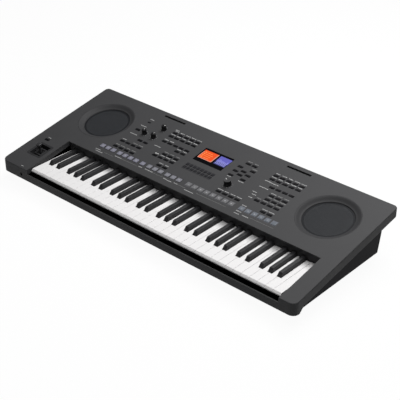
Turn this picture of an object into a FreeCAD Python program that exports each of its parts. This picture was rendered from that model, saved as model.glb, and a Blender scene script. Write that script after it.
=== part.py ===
import FreeCAD, Part
import os
import re

import Sketcher

# A 61-key arranger keyboard. X points right, Y to the rear, Z up, in millimetres.
# The origin lies under the middle of the case, on the plane that the feet stand on.

doc = FreeCAD.newDocument("arranger_keyboard")
sheet = doc.addObject("Spreadsheet::Sheet", "Sizes")

sizes = {
    # case
    "cheek_left": 101.1,
    "cheek_right": 45.5,
    "case_wall": 3,
    "front_corner": 17,
    "rear_corner": 12,
    "lower_rear_corner": 4,
    "apron_return": 14,
    "case_edge": 2.5,
    "panel_tilt": 10,
    "front_height": 33,
    "band_depth": 25.1,
    "lip_overhang": 65,
    "lower_height": 29,
    "lower_side_inset": 8.4,
    "lower_top_inset": 1.5,
    "seam_clearance": 0.4,
    "belly_inset": 50,
    "foot_height": 8,
    "foot_radius": 11,
    "foot_inset": 26,
    "foot_bevel": 1,
    # key well, rail and fascia
    "well_depth": 157.5,
    "well_left_gap": 1.6,
    "well_right_gap": 6.2,
    "well_wall_depth": 14.5,
    "rail_height": 12.5,
    "rail_thickness": 3,
    "fascia_thickness": 2.5,
    "fascia_gap": 1.4,
    "fascia_notch_gap": 0.9,
    # keys
    "white_pitch": 23.6,
    "key_gap": 1,
    "key_setback": 15.4,
    "key_drop": 1.2,
    "key_thickness": 8,
    "white_head": 48.5,
    "tail_gap": 0.6,
    "black_setback": 1,
    "black_width": 12.2,
    "black_top_width": 10.2,
    "black_rise": 10,
    "black_front_slope": 6.5,
    "tail_cover": 6,
    "arm_width": 9,
    "pivot_distance": 194,
    "pivot_drop": 6.5,
    "key_boss_radius": 5.5,
    "rod_radius": 3,
    "rod_clearance": 0.05,
    "key_travel": 2.9,
    "press_clearance": 0.6,
    # key frame, felts and contacts
    "frame_sheet": 2,
    "frame_margin": 6,
    "bracket_thickness": 2,
    "bracket_half_length": 8,
    "felt_depth": 10,
    "felt_thickness": 3,
    "felt_setback": 11,
    "contact_reach": 113,
    "contact_width": 26,
    "contact_rubber_width": 19.5,
    "contact_board_thickness": 1.6,
    "contact_post_height": 3,
    # speakers
    "speaker_inset": 119,
    "speaker_setback": 129,
    "speaker_radius": 81.5,
    "bowl_throat": 65,
    "bowl_depth": 10,
    "bowl_wall": 2,
    "bowl_clearance": 0.3,
    "bowl_flange": 5,
    "grille_thickness": 1.2,
    "woofer_ring_radius": 68,
    "woofer_ring": 3,
    "woofer_mouth": 40,
    "woofer_throat": 24,
    "woofer_depth": 26,
    "woofer_wall": 1.5,
    "cone_mouth": 36,
    "cone_throat": 16,
    "cone_depth": 18,
    "cone_wall": 1,
    "magnet_radius": 29,
    "magnet_depth": 16,
    # music rest slots
    "slot_offset": 215.5,
    "slot_length": 76,
    "slot_width": 6.5,
    "slot_setback": 17,
    "slot_inset": 18.2,
    "slot_depth": 14,
    # control panel
    "panel_left_margin": 11.5,
    "panel_right_margin": 11.9,
    "panel_front_margin": 8.5,
    "panel_rear_margin": 31,
    "button_gap": 0.4,
    "button_pitch": 20.4,
    "front_row": 55,
    "row_step": 16.5,
    "block_step": 27,
    "middle_gap": 35.9,
    "left_gap": 40.3,
    "cursor_gap": 52.9,
    "right_gap": 61.7,
    "cursor_row": 146.5,
    "cursor_step": 20,
    "cursor_near": 8,
    "memory_row": 57.5,
    "memory_side": 2.1,
    "assign_side": 29.5,
    "assign_rise": 4,
    "pad_row": 37,
    "pads_side": 30.5,
    "pad_gap": 4.2,
    "pad_wide_gap": 13,
    "bar_length": 12.6,
    "bar_width": 5.4,
    "bar_rise": 1.2,
    "pad_length": 15,
    "pad_width": 14,
    "pad_rise": 0.8,
    "soft_pitch": 12.4,
    "soft_step": 11.5,
    "soft_gap": 25,
    "soft_length": 9,
    "soft_width": 7.2,
    "button_travel": 1.2,
    "button_flange": 0.8,
    "button_flange_thickness": 1,
    "button_flange_gap": 0.3,
    "rubber_gap": 0.6,
    "rubber_thickness": 1.5,
    "board_thickness": 1.6,
    "board_margin": 8,
    "board_post_radius": 2.5,
    "board_post_gap": 0.5,
    "panel_middle_post": -1,
    # display
    "display_center": -4.5,
    "display_setback": 153.5,
    "display_length": 98,
    "display_width": 57,
    "window_thickness": 2,
    "window_gap": 0.3,
    "window_ledge": 2,
    "module_thickness": 5,
    # knobs
    "live_side": 29,
    "live_pitch": 34.5,
    "live_gap": 30.5,
    "volume_gap": 43,
    "knob_radius": 7.4,
    "knob_height": 13,
    "dial_setback": 91.5,
    "dial_radius": 10,
    "dial_height": 14,
    "knob_lift": 0.8,
    "knob_taper": 0.9,
    "knob_groove": 0.8,
    "stem_radius": 3,
    "stem_clearance": 0.05,
    "stem_hole_gap": 0.6,
    "pot_size": 12,
    "pot_height": 7,
    "stem_reach": 4,
    # joystick
    "stick_side": 38.6,
    "stick_along": 85,
    "stick_well_length": 44,
    "stick_well_width": 48,
    "stick_well_depth": 17,
    "stick_wall": 2,
    "stick_gap": 0.4,
    "stick_axis_depth": 9,
    "stick_pin_radius": 2,
    "stick_pin_clearance": 0.1,
    "stick_radius": 4,
    "stick_height": 16,
    "stick_cap_radius": 8,
    "stick_cap_height": 6,
    "stick_bevel": 1,
    "gimbal_inner": 9.5,
    "gimbal_bar": 3.5,
    "gimbal_height": 7,
    "hub_radius": 5.5,
    "hub_length": 8,
    # power button
    "power_inset": 42,
    "power_along": 129,
    # sockets
    "phones_side": 23.6,
    "phones_drop": 19.5,
    "jack_bore": 3.25,
    "jack_nose": 4.6,
    "jack_nose_gap": 0.3,
    "jack_body": 13,
    "jack_body_length": 22,
    "rear_socket_rise": 33,
    "rear_jack_first": 150,
    "rear_jack_pitch": 42,
    "usb_first": -60,
    "usb_pitch": 48,
    "usb_length": 14,
    "usb_height": 8,
    "usb_depth": 16,
    "usb_wall": 1,
    "dc_across": -220,
    "dc_bore": 3.1,
    "dc_pin": 1.05,
    "dc_body": 11,
    "dc_body_length": 14,
    # main board and cables
    "board_length": 330,
    "board_width": 100,
    "board_rear_gap": 34.5,
    "standoff_height": 6,
    "standoff_radius": 3,
    "rib_thickness": 4,
    "rib_length": 40,
    "ribbon_width": 24,
    "ribbon_thickness": 1,
    "ribbon_first": -120,
    "ribbon_pitch": 180,
    # screws
    "screw_radius": 1.5,
    "screw_hole_gap": 0.3,
    "screw_bite_gap": 0.1,
    "screw_head_radius": 3.4,
    "screw_head_height": 1.4,
    "screw_bite": 10,
    "post_radius": 5,
    "lip_screw_inset": 22,
    "lip_screw_first": 100,
    "lip_screw_side": 22,
    "cheek_screw_inset": 26,
    "cheek_screw_front": 36.5,
    "cheek_screw_rear": 129.5,
}

# Places and overall sizes worked out from the sizes above
derived = {
    "keys_length": "36*white_pitch",
    "case_width": "cheek_left + well_left_gap + keys_length + well_right_gap + cheek_right",
    "key_center": "cheek_left + well_left_gap + keys_length/2 - case_width/2",
    "front_along": "well_depth + front_row",
    "rear_along": "front_along + 3*block_step + 3*row_step",
    "panel_front": "well_depth + panel_front_margin",
    "panel_rear": "rear_along + panel_rear_margin",
    "slot_along": "panel_rear + slot_setback",
    "top_length": "slot_along + slot_inset",
    "case_depth": "top_length*cos(panel_tilt)",
    "panel_front_height": "lower_height + front_height",
    "key_top_height": "panel_front_height - key_drop",
    "speaker_offset": "case_width/2 - speaker_inset",
    "speaker_along": "well_depth + speaker_setback",
    "display_along": "well_depth + display_setback",
    "soft_along": "display_along - display_width/2 - soft_gap",
    "middle_columns": "display_center - display_length/2 - middle_gap - 4*button_pitch",
    "left_columns": "middle_columns - left_gap - 3*button_pitch",
    "cursor_across": "display_center + display_length/2 + cursor_gap",
    "right_columns": "cursor_across + button_pitch + right_gap",
    "cursor_along": "well_depth + cursor_row",
    "memory_along": "well_depth + memory_row",
    "live_left_across": "left_columns + live_side",
    "live_right_across": "live_left_across + live_pitch",
    "live_along": "front_along + 2*block_step + live_gap",
    "volume_along": "live_along + volume_gap",
    "dial_along": "well_depth + dial_setback",
    "pads_left": "left_columns - pads_side",
    "pads_right": "pads_left + 27*button_pitch + 4*pad_gap + 2*pad_wide_gap",
    "pads_along": "well_depth + pad_row",
    "panel_left": "pad_length/2 + panel_left_margin - pads_left",
    "panel_right": "pads_right + pad_length/2 + panel_right_margin",
    "stick_across": "cheek_left - case_width/2 - stick_side",
    "power_across": "power_inset - case_width/2",
    "phones_across": "cheek_left - case_width/2 - phones_side",
    "phones_height": "panel_front_height - phones_drop",
    "rear_socket_height": "lower_height + rear_socket_rise",
    "board_front": "case_depth/2 - lip_overhang - board_rear_gap - board_width",
    "lip_screw_last": "case_width/2 - lip_screw_side",
}

for row, (name, value) in enumerate(sizes.items(), start=1):
    sheet.set(f"A{row}", name)
    sheet.set(f"B{row}", str(value))
    sheet.setAlias(f"B{row}", name)
doc.recompute()


def formula(text):
    # Points every size named in the text at its cell, and writes out what is worked out from sizes.
    def cell(word):
        name = word.group()
        if name in derived:
            return f"({formula(derived[name])})"
        return "Sizes." + name if name in sizes else name

    return re.sub(r"[a-z][a-z_]*", cell, str(text))


def number(text):
    result = sheet.evalExpression(formula(text))
    return float(getattr(result, "Value", result))


def bind(item, **texts):
    # Ties properties of an item to formulas; a double underscore stands for a dot.
    for path, text in texts.items():
        item.setExpression(path.replace("__", "."), formula(text))
    return item


def move(item, x="0", y="0", z="0"):
    return bind(item, Placement__Base__x=x, Placement__Base__y=y, Placement__Base__z=z)


def turn(item, axis, angle):
    item.Placement = FreeCAD.Placement(FreeCAD.Vector(), FreeCAD.Rotation(FreeCAD.Vector(*axis), angle))
    return item


def box(name, x, y, z, length, width, height):
    item = doc.addObject("Part::Box", name)
    bind(item, Length=length, Width=width, Height=height)
    return move(item, x, y, z)


def block(name, x, y, z, length, width, height):
    # A box centred across X and Y, standing on z.
    return box(name, f"{x} - ({length})/2", f"{y} - ({width})/2", z, length, width, height)


def cylinder(name, x, y, z, radius, height, axis="z"):
    item = doc.addObject("Part::Cylinder", name)
    bind(item, Radius=radius, Height=height)
    if axis == "x":
        turn(item, (0, 1, 0), 90)
    if axis == "y":
        turn(item, (1, 0, 0), -90)
    return move(item, x, y, z)


def fuse(name, pieces):
    item = doc.addObject("Part::MultiFuse", name)
    item.Shapes = pieces
    item.Refine = True
    return item


def cut(name, base, tools):
    item = doc.addObject("Part::Cut", name)
    item.Base = base
    item.Tool = tools[0] if len(tools) == 1 else fuse(name + "_tools", tools)
    item.Refine = True
    return item


def common(name, first, second):
    item = doc.addObject("Part::Common", name)
    item.Base = first
    item.Tool = second
    return item


def group(name, pieces):
    item = doc.addObject("Part::Compound", name)
    item.Links = pieces
    return item


def plane_of(body, role):
    return next(part for part in body.Origin.OriginFeatures if part.Role == role)


def outline(body, name, role, points):
    # A closed polygon on an origin plane, each corner tied to its two formulas.
    sketch = body.newObject("Sketcher::SketchObject", name)
    sketch.AttachmentSupport = [(plane_of(body, role), "")]
    sketch.MapMode = "FlatFace"
    corners = [FreeCAD.Vector(number(a), number(b), 0) for a, b in points]
    count = len(points)
    for index in range(count):
        line = Part.LineSegment(corners[index], corners[(index + 1) % count])
        sketch.addGeometry(line, False)
    for index in range(count):
        sketch.addConstraint(Sketcher.Constraint("Coincident", index, 2, (index + 1) % count, 1))
    for index, point in enumerate(points):
        for kind, text in zip(("DistanceX", "DistanceY"), point):
            place = sketch.addConstraint(Sketcher.Constraint(kind, -1, 1, index, 1, number(text)))
            sketch.setExpression(f"Constraints[{place}]", formula(text))
    return sketch


def side_prism(name, left, right, points, front_corner=None, rear_corner=None, edge=None):
    # A side profile of (y, z) corners padded from left to right, with rounded upright corners.
    body = doc.addObject("PartDesign::Body", name)
    profile = outline(body, name + "_profile", "YZ_Plane", points)
    pad = body.newObject("PartDesign::Pad", name + "_pad")
    pad.Profile = profile
    bind(pad, Length=f"({right}) - ({left})")
    move(body, x=left)
    doc.recompute()
    if front_corner:
        round_edges(body, name + "_front_corners", pad, front_corner, is_front_upright)
    if rear_corner:
        round_edges(body, name + "_rear_corners", body.Tip, rear_corner, is_rear_upright)
    if edge:
        round_edges(body, name + "_edges", body.Tip, edge, is_top_rim)
    return body


def is_upright(shape, line):
    ends = [vertex.Point for vertex in line.Vertexes]
    return len(ends) == 2 and abs(ends[0].x - ends[1].x) + abs(ends[0].y - ends[1].y) < 1e-6


def is_front_upright(shape, line):
    return is_upright(shape, line) and line.CenterOfMass.y < shape.BoundBox.YMin + 1e-3


def is_rear_upright(shape, line):
    return is_upright(shape, line) and line.CenterOfMass.y > shape.BoundBox.YMax - 1e-3


def is_top_rim(shape, line):
    # The rim of the highest tilted face.
    top = max(shape.Faces, key=lambda face: face.CenterOfMass.z)
    return any(line.isSame(rim) for rim in top.Edges)


def round_edges(body, name, base, radius, wanted):
    fillet = body.newObject("PartDesign::Fillet", name)
    names = [f"Edge{i}" for i, line in enumerate(base.Shape.Edges, start=1) if wanted(base.Shape, line)]
    fillet.Base = (base, names)
    bind(fillet, Radius=radius)
    body.Tip = fillet
    doc.recompute()


def turned(name, points, x="0", y="0", z="0"):
    # A (radius, height) profile turned about the upright axis.
    body = doc.addObject("PartDesign::Body", name)
    profile = outline(body, name + "_profile", "XZ_Plane", points)
    spin = body.newObject("PartDesign::Revolution", name + "_spin")
    spin.Profile = profile
    spin.ReferenceAxis = (profile, ["V_Axis"])
    spin.Angle = 360
    return move(body, x, y, z)


nodes = []


def node(label, item):
    item.Label = label
    nodes.append(item)
    return item


def on_panel(item):
    # Carries a piece drawn in panel coordinates (across, along, off the panel) to its tilted place.
    turn(item, (1, 0, 0), number("panel_tilt"))
    bind(item, Placement__Rotation__Angle="panel_tilt")
    return move(item, y=front_y, z="panel_front_height")


# Shared places

front_y = "(-case_depth/2)"
rear_y = "(case_depth/2)"
lower_rear_y = "(case_depth/2 - lip_overhang)"
half_width = "(case_width/2)"
lower_floor = "(lower_height + case_wall)"
belly_floor = "(foot_height + case_wall)"
belly_half = "(case_width/2 - lower_side_inset - belly_inset)"
belly_front = "(-case_depth/2 + belly_inset)"
belly_rear = "(case_depth/2 - lip_overhang - belly_inset/2)"

key_left = "(key_center - 18*white_pitch)"
key_right = "(key_center + 18*white_pitch)"
key_front = "(-case_depth/2 + key_setback)"
pivot_y = "(-case_depth/2 + key_setback + pivot_distance)"
pivot_z = "(key_top_height - pivot_drop)"
contact_y = f"({pivot_y} - contact_reach)"
key_bottom = "(key_top_height - key_thickness)"
well_left = "(key_center - 18*white_pitch - well_left_gap)"
well_right = "(key_center + 18*white_pitch + well_right_gap)"

fascia_drop = ("((panel_front_height + well_depth*sin(panel_tilt) - key_top_height - fascia_gap)"
               "/cos(panel_tilt))")
fascia_y = f"(-case_depth/2 + well_depth*cos(panel_tilt) + {fascia_drop}*sin(panel_tilt))"
rear_felt_y = f"({fascia_y} + tail_cover + felt_depth)"
rear_felt_top = "(key_top_height + press_clearance + felt_thickness)"


def panel_z(y, depth="0"):
    # Height of the surface that lies a given depth under the panel.
    return f"(panel_front_height + ({y} + case_depth/2)*tan(panel_tilt) - ({depth})/cos(panel_tilt))"


# Push buttons: (first across, along, count) for each row, in panel coordinates

second_along = "(rear_along - row_step)"
third_along = "(rear_along - row_step - block_step)"
function_along = "(front_along + block_step)"
step_along = "(front_along + block_step + row_step)"


def column(first, index):
    return f"({first} + {index}*button_pitch)"


style_rows = [
    ("middle_columns", "rear_along", 5),
    ("middle_columns", second_along, 5),
    ("middle_columns", third_along, 5),
    (column("middle_columns", 3), f"{third_along} - row_step", 2),
]
function_rows = [
    (column("left_columns", 2), f"{function_along} + block_step", 2),
    ("left_columns", function_along, 4),
    ("left_columns", "front_along", 4),
    ("live_left_across - assign_side", "live_along + assign_rise", 1),
]
sequence_rows = [
    (column("middle_columns", 2), step_along, 3),
    (column("middle_columns", 1), function_along, 4),
    (column("middle_columns", 3), "front_along", 2),
]
voice_rows = [
    ("right_columns", "rear_along", 5),
    ("right_columns", second_along, 5),
    (column("right_columns", 1), third_along, 4),
]
part_rows = [
    (column("right_columns", 2), f"{step_along} + row_step", 3),
    (column("right_columns", 2), step_along, 3),
    (column("right_columns", 1), function_along, 4),
    (column("right_columns", 3), "front_along", 2),
]
memory_rows = [("cursor_across - memory_side", "memory_along", 4)]
cursor_rows = [("cursor_across - button_pitch/2", "cursor_along + 2*cursor_step", 2)]
cursor_rows += [("cursor_across", f"cursor_along {sign} cursor_near", 1) for sign in "+-"]
cursor_rows += [(column("cursor_across", side), f"cursor_along + {step}*cursor_step", 1)
                for side in (-1, 1) for step in (-1, 0, 1)]


def pad_start(pads, narrow, wide):
    # First pad after a number of pads and of narrow and wide gaps between their groups.
    return f"(pads_left + {pads}*button_pitch + {narrow}*pad_gap + {wide}*pad_wide_gap)"


style_pad_rows = [(pad_start(0, 0, 0), "pads_along", 3), (pad_start(3, 1, 0), "pads_along", 4),
                  (pad_start(7, 2, 0), "pads_along", 1)]
transport_pad_rows = [(pad_start(8, 3, 0), "pads_along", 3), (pad_start(11, 4, 0), "pads_along", 3)]
memory_pad_rows = [(pad_start(14, 4, 1), "pads_along", 8)]
part_pad_rows = [(pad_start(22, 4, 2), "pads_along", 6)]
soft_rows = [("display_center - 3.5*soft_pitch", f"soft_along - {index}*soft_step", 8) for index in range(2)]
power_rows = [("power_across", "power_along", 1)]

bar = {"length": "bar_length", "width": "bar_width", "rise": "bar_rise", "pitch": "button_pitch"}
pad = {"length": "pad_length", "width": "pad_width", "rise": "pad_rise", "pitch": "button_pitch"}
soft = {"length": "soft_length", "width": "soft_width", "rise": "bar_rise", "pitch": "soft_pitch"}

panel_buttons = {
    "style_buttons": (style_rows, bar),
    "function_buttons": (function_rows, bar),
    "sequence_buttons": (sequence_rows, bar),
    "voice_buttons": (voice_rows, bar),
    "part_buttons": (part_rows, bar),
    "memory_buttons": (memory_rows, bar),
    "cursor_buttons": (cursor_rows, bar),
    "display_buttons": (soft_rows, soft),
    "style_pads": (style_pad_rows, pad),
    "transport_pads": (transport_pad_rows, pad),
    "memory_pads": (memory_pad_rows, pad),
    "part_pads": (part_pad_rows, pad),
}
case_buttons = {"power_button": (power_rows, bar)}

button_flange_top = "(-case_wall - button_flange_gap)"
button_foot = f"({button_flange_top} - button_flange_thickness)"
rubber_top = f"({button_foot} - button_travel - rubber_gap)"
board_top = f"({rubber_top} - rubber_thickness)"
board_under = f"({board_top} - board_thickness)"


def button_places(rows, kind):
    for across, along, count in rows:
        for index in range(count):
            yield f"({across} + {index}*{kind['pitch']})", along


def button_caps(label, rows, kind):
    # Each cap has a wider foot under the panel that keeps it in its hole.
    caps = []
    for index, (across, along) in enumerate(button_places(rows, kind)):
        cap = block(f"{label}_cap_{index}", across, along, button_foot, kind["length"], kind["width"],
                    f"{kind['rise']} - {button_foot}")
        foot = block(f"{label}_foot_{index}", across, along, button_foot,
                     f"{kind['length']} + 2*button_flange", f"{kind['width']} + 2*button_flange",
                     "button_flange_thickness")
        caps.append(fuse(f"{label}_{index}", [cap, foot]))
    return on_panel(node(label, group(label, caps)))


def button_holes(label, rows, kind):
    holes = []
    for index, (across, along) in enumerate(button_places(rows, kind)):
        holes.append(block(f"{label}_hole_{index}", across, along, "-2*case_wall",
                           f"{kind['length']} + 2*button_gap", f"{kind['width']} + 2*button_gap",
                           "4*case_wall"))
    return holes


# Knobs: (across, along, radius, height)

knobs = {
    "volume_knob": ("live_right_across", "volume_along", "knob_radius", "knob_height"),
    "live_knob_left": ("live_left_across", "live_along", "knob_radius", "knob_height"),
    "live_knob_right": ("live_right_across", "live_along", "knob_radius", "knob_height"),
    "data_dial": ("cursor_across", "dial_along", "dial_radius", "dial_height"),
}
stem_foot = f"({board_under} - stem_reach)"


def make_knobs():
    for label, (across, along, radius, height) in knobs.items():
        rim = f"(knob_lift + {height})"
        profile = [
            ("0", stem_foot),
            ("stem_radius", stem_foot),
            ("stem_radius", "knob_lift"),
            (radius, "knob_lift"),
            (f"{radius} - knob_taper", f"{rim} - knob_groove"),
            (f"{radius} - knob_taper - knob_groove", rim),
            ("0", rim),
        ]
        cap = turned(label + "_turned", profile, across, along)
        on_panel(node(label, group(label, [cap])))


def make_pots():
    # Each pot hangs under the panel board, and the knob's stem turns in its bore.
    pots = []
    for label, (across, along, radius, height) in knobs.items():
        body = block(f"pot_{label}", across, along, f"{board_under} - pot_height", "pot_size", "pot_size",
                     "pot_height")
        bore = cylinder(f"pot_bore_{label}", across, along, f"{board_under} - 2*pot_height",
                        "stem_radius + stem_clearance", "3*pot_height")
        pots.append(cut(f"pot_cut_{label}", body, [bore]))
    on_panel(node("rotary_pots", group("rotary_pots", pots)))


# Case

speaker_sides = {"left": "-speaker_offset", "right": "speaker_offset"}
slot_sides = {"left": "-slot_offset", "right": "slot_offset"}
lip_screw_places = [f"({side}*(lip_screw_first + {index}*(lip_screw_last - lip_screw_first)/2))"
                    for side in (-1, 1) for index in range(3)]
lip_screw_along = "(top_length - lip_screw_inset)"
cheek_screw_places = [(f"({side}*(case_width/2 - cheek_screw_inset))", f"({front_y} + {depth})")
                      for side in (-1, 1) for depth in ("cheek_screw_front", "cheek_screw_rear")]
flange_top = "(-band_depth + case_wall)"


def stick_well(name, margin, top, bottom):
    return block(name, "stick_across", "stick_along", bottom, f"stick_well_length + 2*({margin})",
                 f"stick_well_width + 2*({margin})", f"{top} - ({bottom})")


def make_top_case():
    # The apron carries the front and its rounded corners down to the lower edge, and slopes up to the band
    apron_foot = f"({front_y} + front_corner + case_wall)"
    apron_rear = f"({apron_foot} + apron_return)"
    shell = side_prism("top_shell", f"-{half_width}", half_width, [
        (front_y, "lower_height"),
        (apron_foot, "lower_height"),
        (apron_rear, panel_z(apron_rear, "band_depth")),
        (rear_y, panel_z(rear_y, "band_depth")),
        (rear_y, panel_z(rear_y)),
        (front_y, panel_z(front_y)),
    ], front_corner="front_corner", rear_corner="rear_corner", edge="case_edge")
    inner_front = f"({front_y} + case_wall)"
    inner_rear = f"({rear_y} - case_wall)"
    hollow = side_prism("top_hollow", f"-{half_width} + case_wall", f"{half_width} - case_wall", [
        (inner_front, panel_z(inner_front, "2*band_depth")),
        (inner_rear, panel_z(inner_rear, "2*band_depth")),
        (inner_rear, panel_z(inner_rear, "case_wall")),
        (inner_front, panel_z(inner_front, "case_wall")),
    ], front_corner="front_corner - case_wall", rear_corner="rear_corner - case_wall")
    skin = cut("top_skin", shell, [hollow])

    # Upright walls on both sides of the key well
    well_rear = "(-case_depth/2 + well_depth*cos(panel_tilt))"
    wall_profile = [
        (inner_front, panel_z(inner_front, "well_wall_depth")),
        (well_rear, panel_z(well_rear, "well_wall_depth")),
        (well_rear, panel_z(well_rear, "case_wall/2")),
        (inner_front, panel_z(inner_front, "case_wall/2")),
    ]
    walls = [
        side_prism("well_wall_left", f"{well_left} - case_wall", well_left, wall_profile),
        side_prism("well_wall_right", well_right, f"{well_right} + case_wall", wall_profile),
    ]
    posts = []
    for index, (x, y) in enumerate(cheek_screw_places):
        posts.append(cylinder(f"cheek_post_{index}", x, y, lower_floor, "post_radius",
                              f"{panel_z(y, 'case_wall/2')} - {lower_floor}"))
    lip_posts = []
    for index, across in enumerate(lip_screw_places):
        lip_posts.append(cylinder(f"lip_post_{index}", across, lip_screw_along, flange_top, "post_radius",
                                  f"-case_wall/2 - {flange_top}"))
    cups = []
    for side, across in slot_sides.items():
        cups.append(block(f"slot_cup_{side}", across, "slot_along", "-slot_depth - case_wall",
                          "slot_length + 2*case_wall", "slot_width + 2*case_wall",
                          "slot_depth + case_wall/2"))
    lip_parts = on_panel(fuse("lip_parts", lip_posts + cups))
    solid = fuse("top_solid", [skin, lip_parts] + walls + posts)

    # The key well runs out through the front; everything else is cut square to the panel
    openings = [
        box("well_opening", well_left, "-band_depth", "-2*band_depth", f"{well_right} - {well_left}",
            "well_depth + band_depth", "3*band_depth"),
        box("panel_opening", "-panel_left", "panel_front", "-2*case_wall", "panel_left + panel_right",
            "panel_rear - panel_front", "4*case_wall"),
        stick_well("stick_opening", "stick_gap", "2*case_wall", "-2*case_wall"),
    ]
    openings += button_holes("power_button", power_rows, bar)
    for side, across in speaker_sides.items():
        openings.append(cylinder(f"speaker_opening_{side}", across, "speaker_along", "-2*case_wall",
                                 "speaker_radius", "4*case_wall"))
    for side, across in slot_sides.items():
        openings.append(block(f"slot_{side}", across, "slot_along", "-slot_depth", "slot_length",
                              "slot_width", "2*slot_depth"))
    for index, across in enumerate(lip_screw_places):
        openings.append(cylinder(f"lip_screw_bore_{index}", across, lip_screw_along, "-band_depth",
                                 "screw_radius + screw_bite_gap", "screw_bite + screw_bite_gap"))
    panel_tools = on_panel(fuse("top_openings", openings))
    upright_tools = [panel_tools]
    for index, (x, y) in enumerate(cheek_screw_places):
        upright_tools.append(cylinder(f"cheek_screw_bore_{index}", x, y, "lower_height",
                                      "screw_radius + screw_bite_gap", "case_wall + screw_bite"))
    upright_tools.append(cylinder("phones_hole", "phones_across", f"{front_y} - case_wall", "phones_height",
                                  "jack_nose + jack_nose_gap", "3*case_wall", "y"))
    node("top_case", cut("top_case", solid, upright_tools))


def make_bottom_case():
    tub_front = f"({front_y} + case_wall + seam_clearance)"
    tub = side_prism("tub_side", f"-{half_width}", half_width, [
        (tub_front, "lower_height"),
        (lower_rear_y, "lower_height"),
        (lower_rear_y, panel_z(lower_rear_y, "band_depth")),
        (tub_front, panel_z(tub_front, "band_depth")),
    ], front_corner="front_corner + lower_side_inset", rear_corner="lower_rear_corner")
    tub_rise = f"({panel_z(lower_rear_y, 'band_depth')} - lower_height)"
    draft = doc.addObject("PartDesign::Body", "tub_draft")
    profile = outline(draft, "tub_draft_profile", "XZ_Plane", [
        (f"-{half_width} + lower_side_inset", "lower_height"),
        (f"{half_width} - lower_side_inset", "lower_height"),
        (f"{half_width} - lower_top_inset", f"lower_height + {tub_rise}"),
        (f"-{half_width} + lower_top_inset", f"lower_height + {tub_rise}"),
    ])
    draft_pad = draft.newObject("PartDesign::Pad", "tub_draft_pad")
    draft_pad.Profile = profile
    draft_pad.Midplane = True
    bind(draft_pad, Length="2*case_depth")
    tub_outer = common("tub_outer", tub, draft)

    flange_half = f"({half_width} - case_wall - seam_clearance)"
    flange_rear = f"({rear_y} - case_wall - seam_clearance)"
    flange_sheet = side_prism("flange_sheet", f"-{flange_half}", flange_half, [
        (tub_front, panel_z(tub_front, "band_depth")),
        (flange_rear, panel_z(flange_rear, "band_depth")),
        (flange_rear, panel_z(flange_rear, "band_depth - case_wall")),
        (tub_front, panel_z(tub_front, "band_depth - case_wall")),
    ])
    flange_plan = side_prism("flange_plan", f"-{flange_half}", flange_half, [
        (tub_front, "lower_height"),
        (flange_rear, "lower_height"),
        (flange_rear, panel_z(flange_rear)),
        (tub_front, panel_z(tub_front)),
    ], front_corner="front_corner - case_wall - seam_clearance",
        rear_corner="rear_corner - case_wall - seam_clearance")
    flange = common("tub_flange", flange_sheet, flange_plan)
    belly = box("belly", f"-{belly_half}", belly_front, "foot_height", f"2*{belly_half}",
                f"{belly_rear} - {belly_front}", f"{lower_floor} - foot_height")
    outer = fuse("bottom_outer", [tub_outer, flange, belly])

    hollow_half = f"({half_width} - lower_side_inset - case_wall)"
    hollow_front = f"({tub_front} + case_wall)"
    hollow_rear = f"({lower_rear_y} - case_wall)"
    hollow = side_prism("tub_hollow", f"-{hollow_half}", hollow_half, [
        (hollow_front, lower_floor),
        (hollow_rear, lower_floor),
        (hollow_rear, panel_z(hollow_rear)),
        (hollow_front, panel_z(hollow_front)),
    ], front_corner="front_corner - 2*case_wall", rear_corner="rear_corner - case_wall")
    belly_hollow = box("belly_hollow", f"-{belly_half} + case_wall", f"{belly_front} + case_wall",
                       belly_floor, f"2*{belly_half} - 2*case_wall",
                       f"{belly_rear} - {belly_front} - 2*case_wall", "lower_height")
    shell = cut("bottom_shell", outer, [hollow, belly_hollow])

    # Ribs carry the key frame over the belly, and standoffs the main board
    inside = []
    for index, x in enumerate((f"{key_left} + 2*rib_length", "key_center", f"{key_right} - 2*rib_length")):
        inside.append(block(f"frame_rib_{index}", x, contact_y, "foot_height + case_wall/2", "rib_length",
                            "rib_thickness", f"{lower_floor} - foot_height - case_wall/2"))
    for index, (x, y) in enumerate(board_corners()):
        inside.append(cylinder(f"standoff_{index}", x, y, "foot_height + case_wall/2", "standoff_radius",
                               "case_wall/2 + standoff_height"))
    solid = fuse("bottom_solid", [shell] + inside)

    holes = []
    for index, x in enumerate(rear_jack_places):
        holes.append(rear_hole(f"rear_jack_hole_{index}", x, "jack_nose + jack_nose_gap"))
    holes.append(rear_hole("dc_hole", "dc_across", "jack_nose + jack_nose_gap"))
    for index, x in enumerate(usb_places):
        holes.append(block(f"usb_hole_{index}", x, lower_rear_y,
                           "rear_socket_height - usb_height/2 - jack_nose_gap",
                           "usb_length + 2*jack_nose_gap", "4*case_wall", "usb_height + 2*jack_nose_gap"))
    notch_foot = "phones_height - jack_body/2 - seam_clearance"
    holes.append(block("phones_notch", "phones_across", tub_front, notch_foot, "jack_body + 2*seam_clearance",
                       "4*case_wall", "jack_body"))
    for index, (x, y) in enumerate(cheek_screw_places):
        holes.append(cylinder(f"cheek_screw_hole_{index}", x, y, "lower_height - case_wall",
                              "screw_radius + screw_hole_gap", "3*case_wall"))
        holes.append(cylinder(f"cheek_screw_sink_{index}", x, y, "lower_height - case_wall",
                              "screw_head_radius + screw_hole_gap", "case_wall + screw_head_height"))
    lip_holes = []
    for index, across in enumerate(lip_screw_places):
        lip_holes.append(cylinder(f"lip_screw_hole_{index}", across, lip_screw_along, "-2*band_depth",
                                  "screw_radius + screw_hole_gap", "2*band_depth"))
    holes.append(on_panel(fuse("lip_screw_holes", lip_holes)))
    node("bottom_case", cut("bottom_case", solid, holes))


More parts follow.
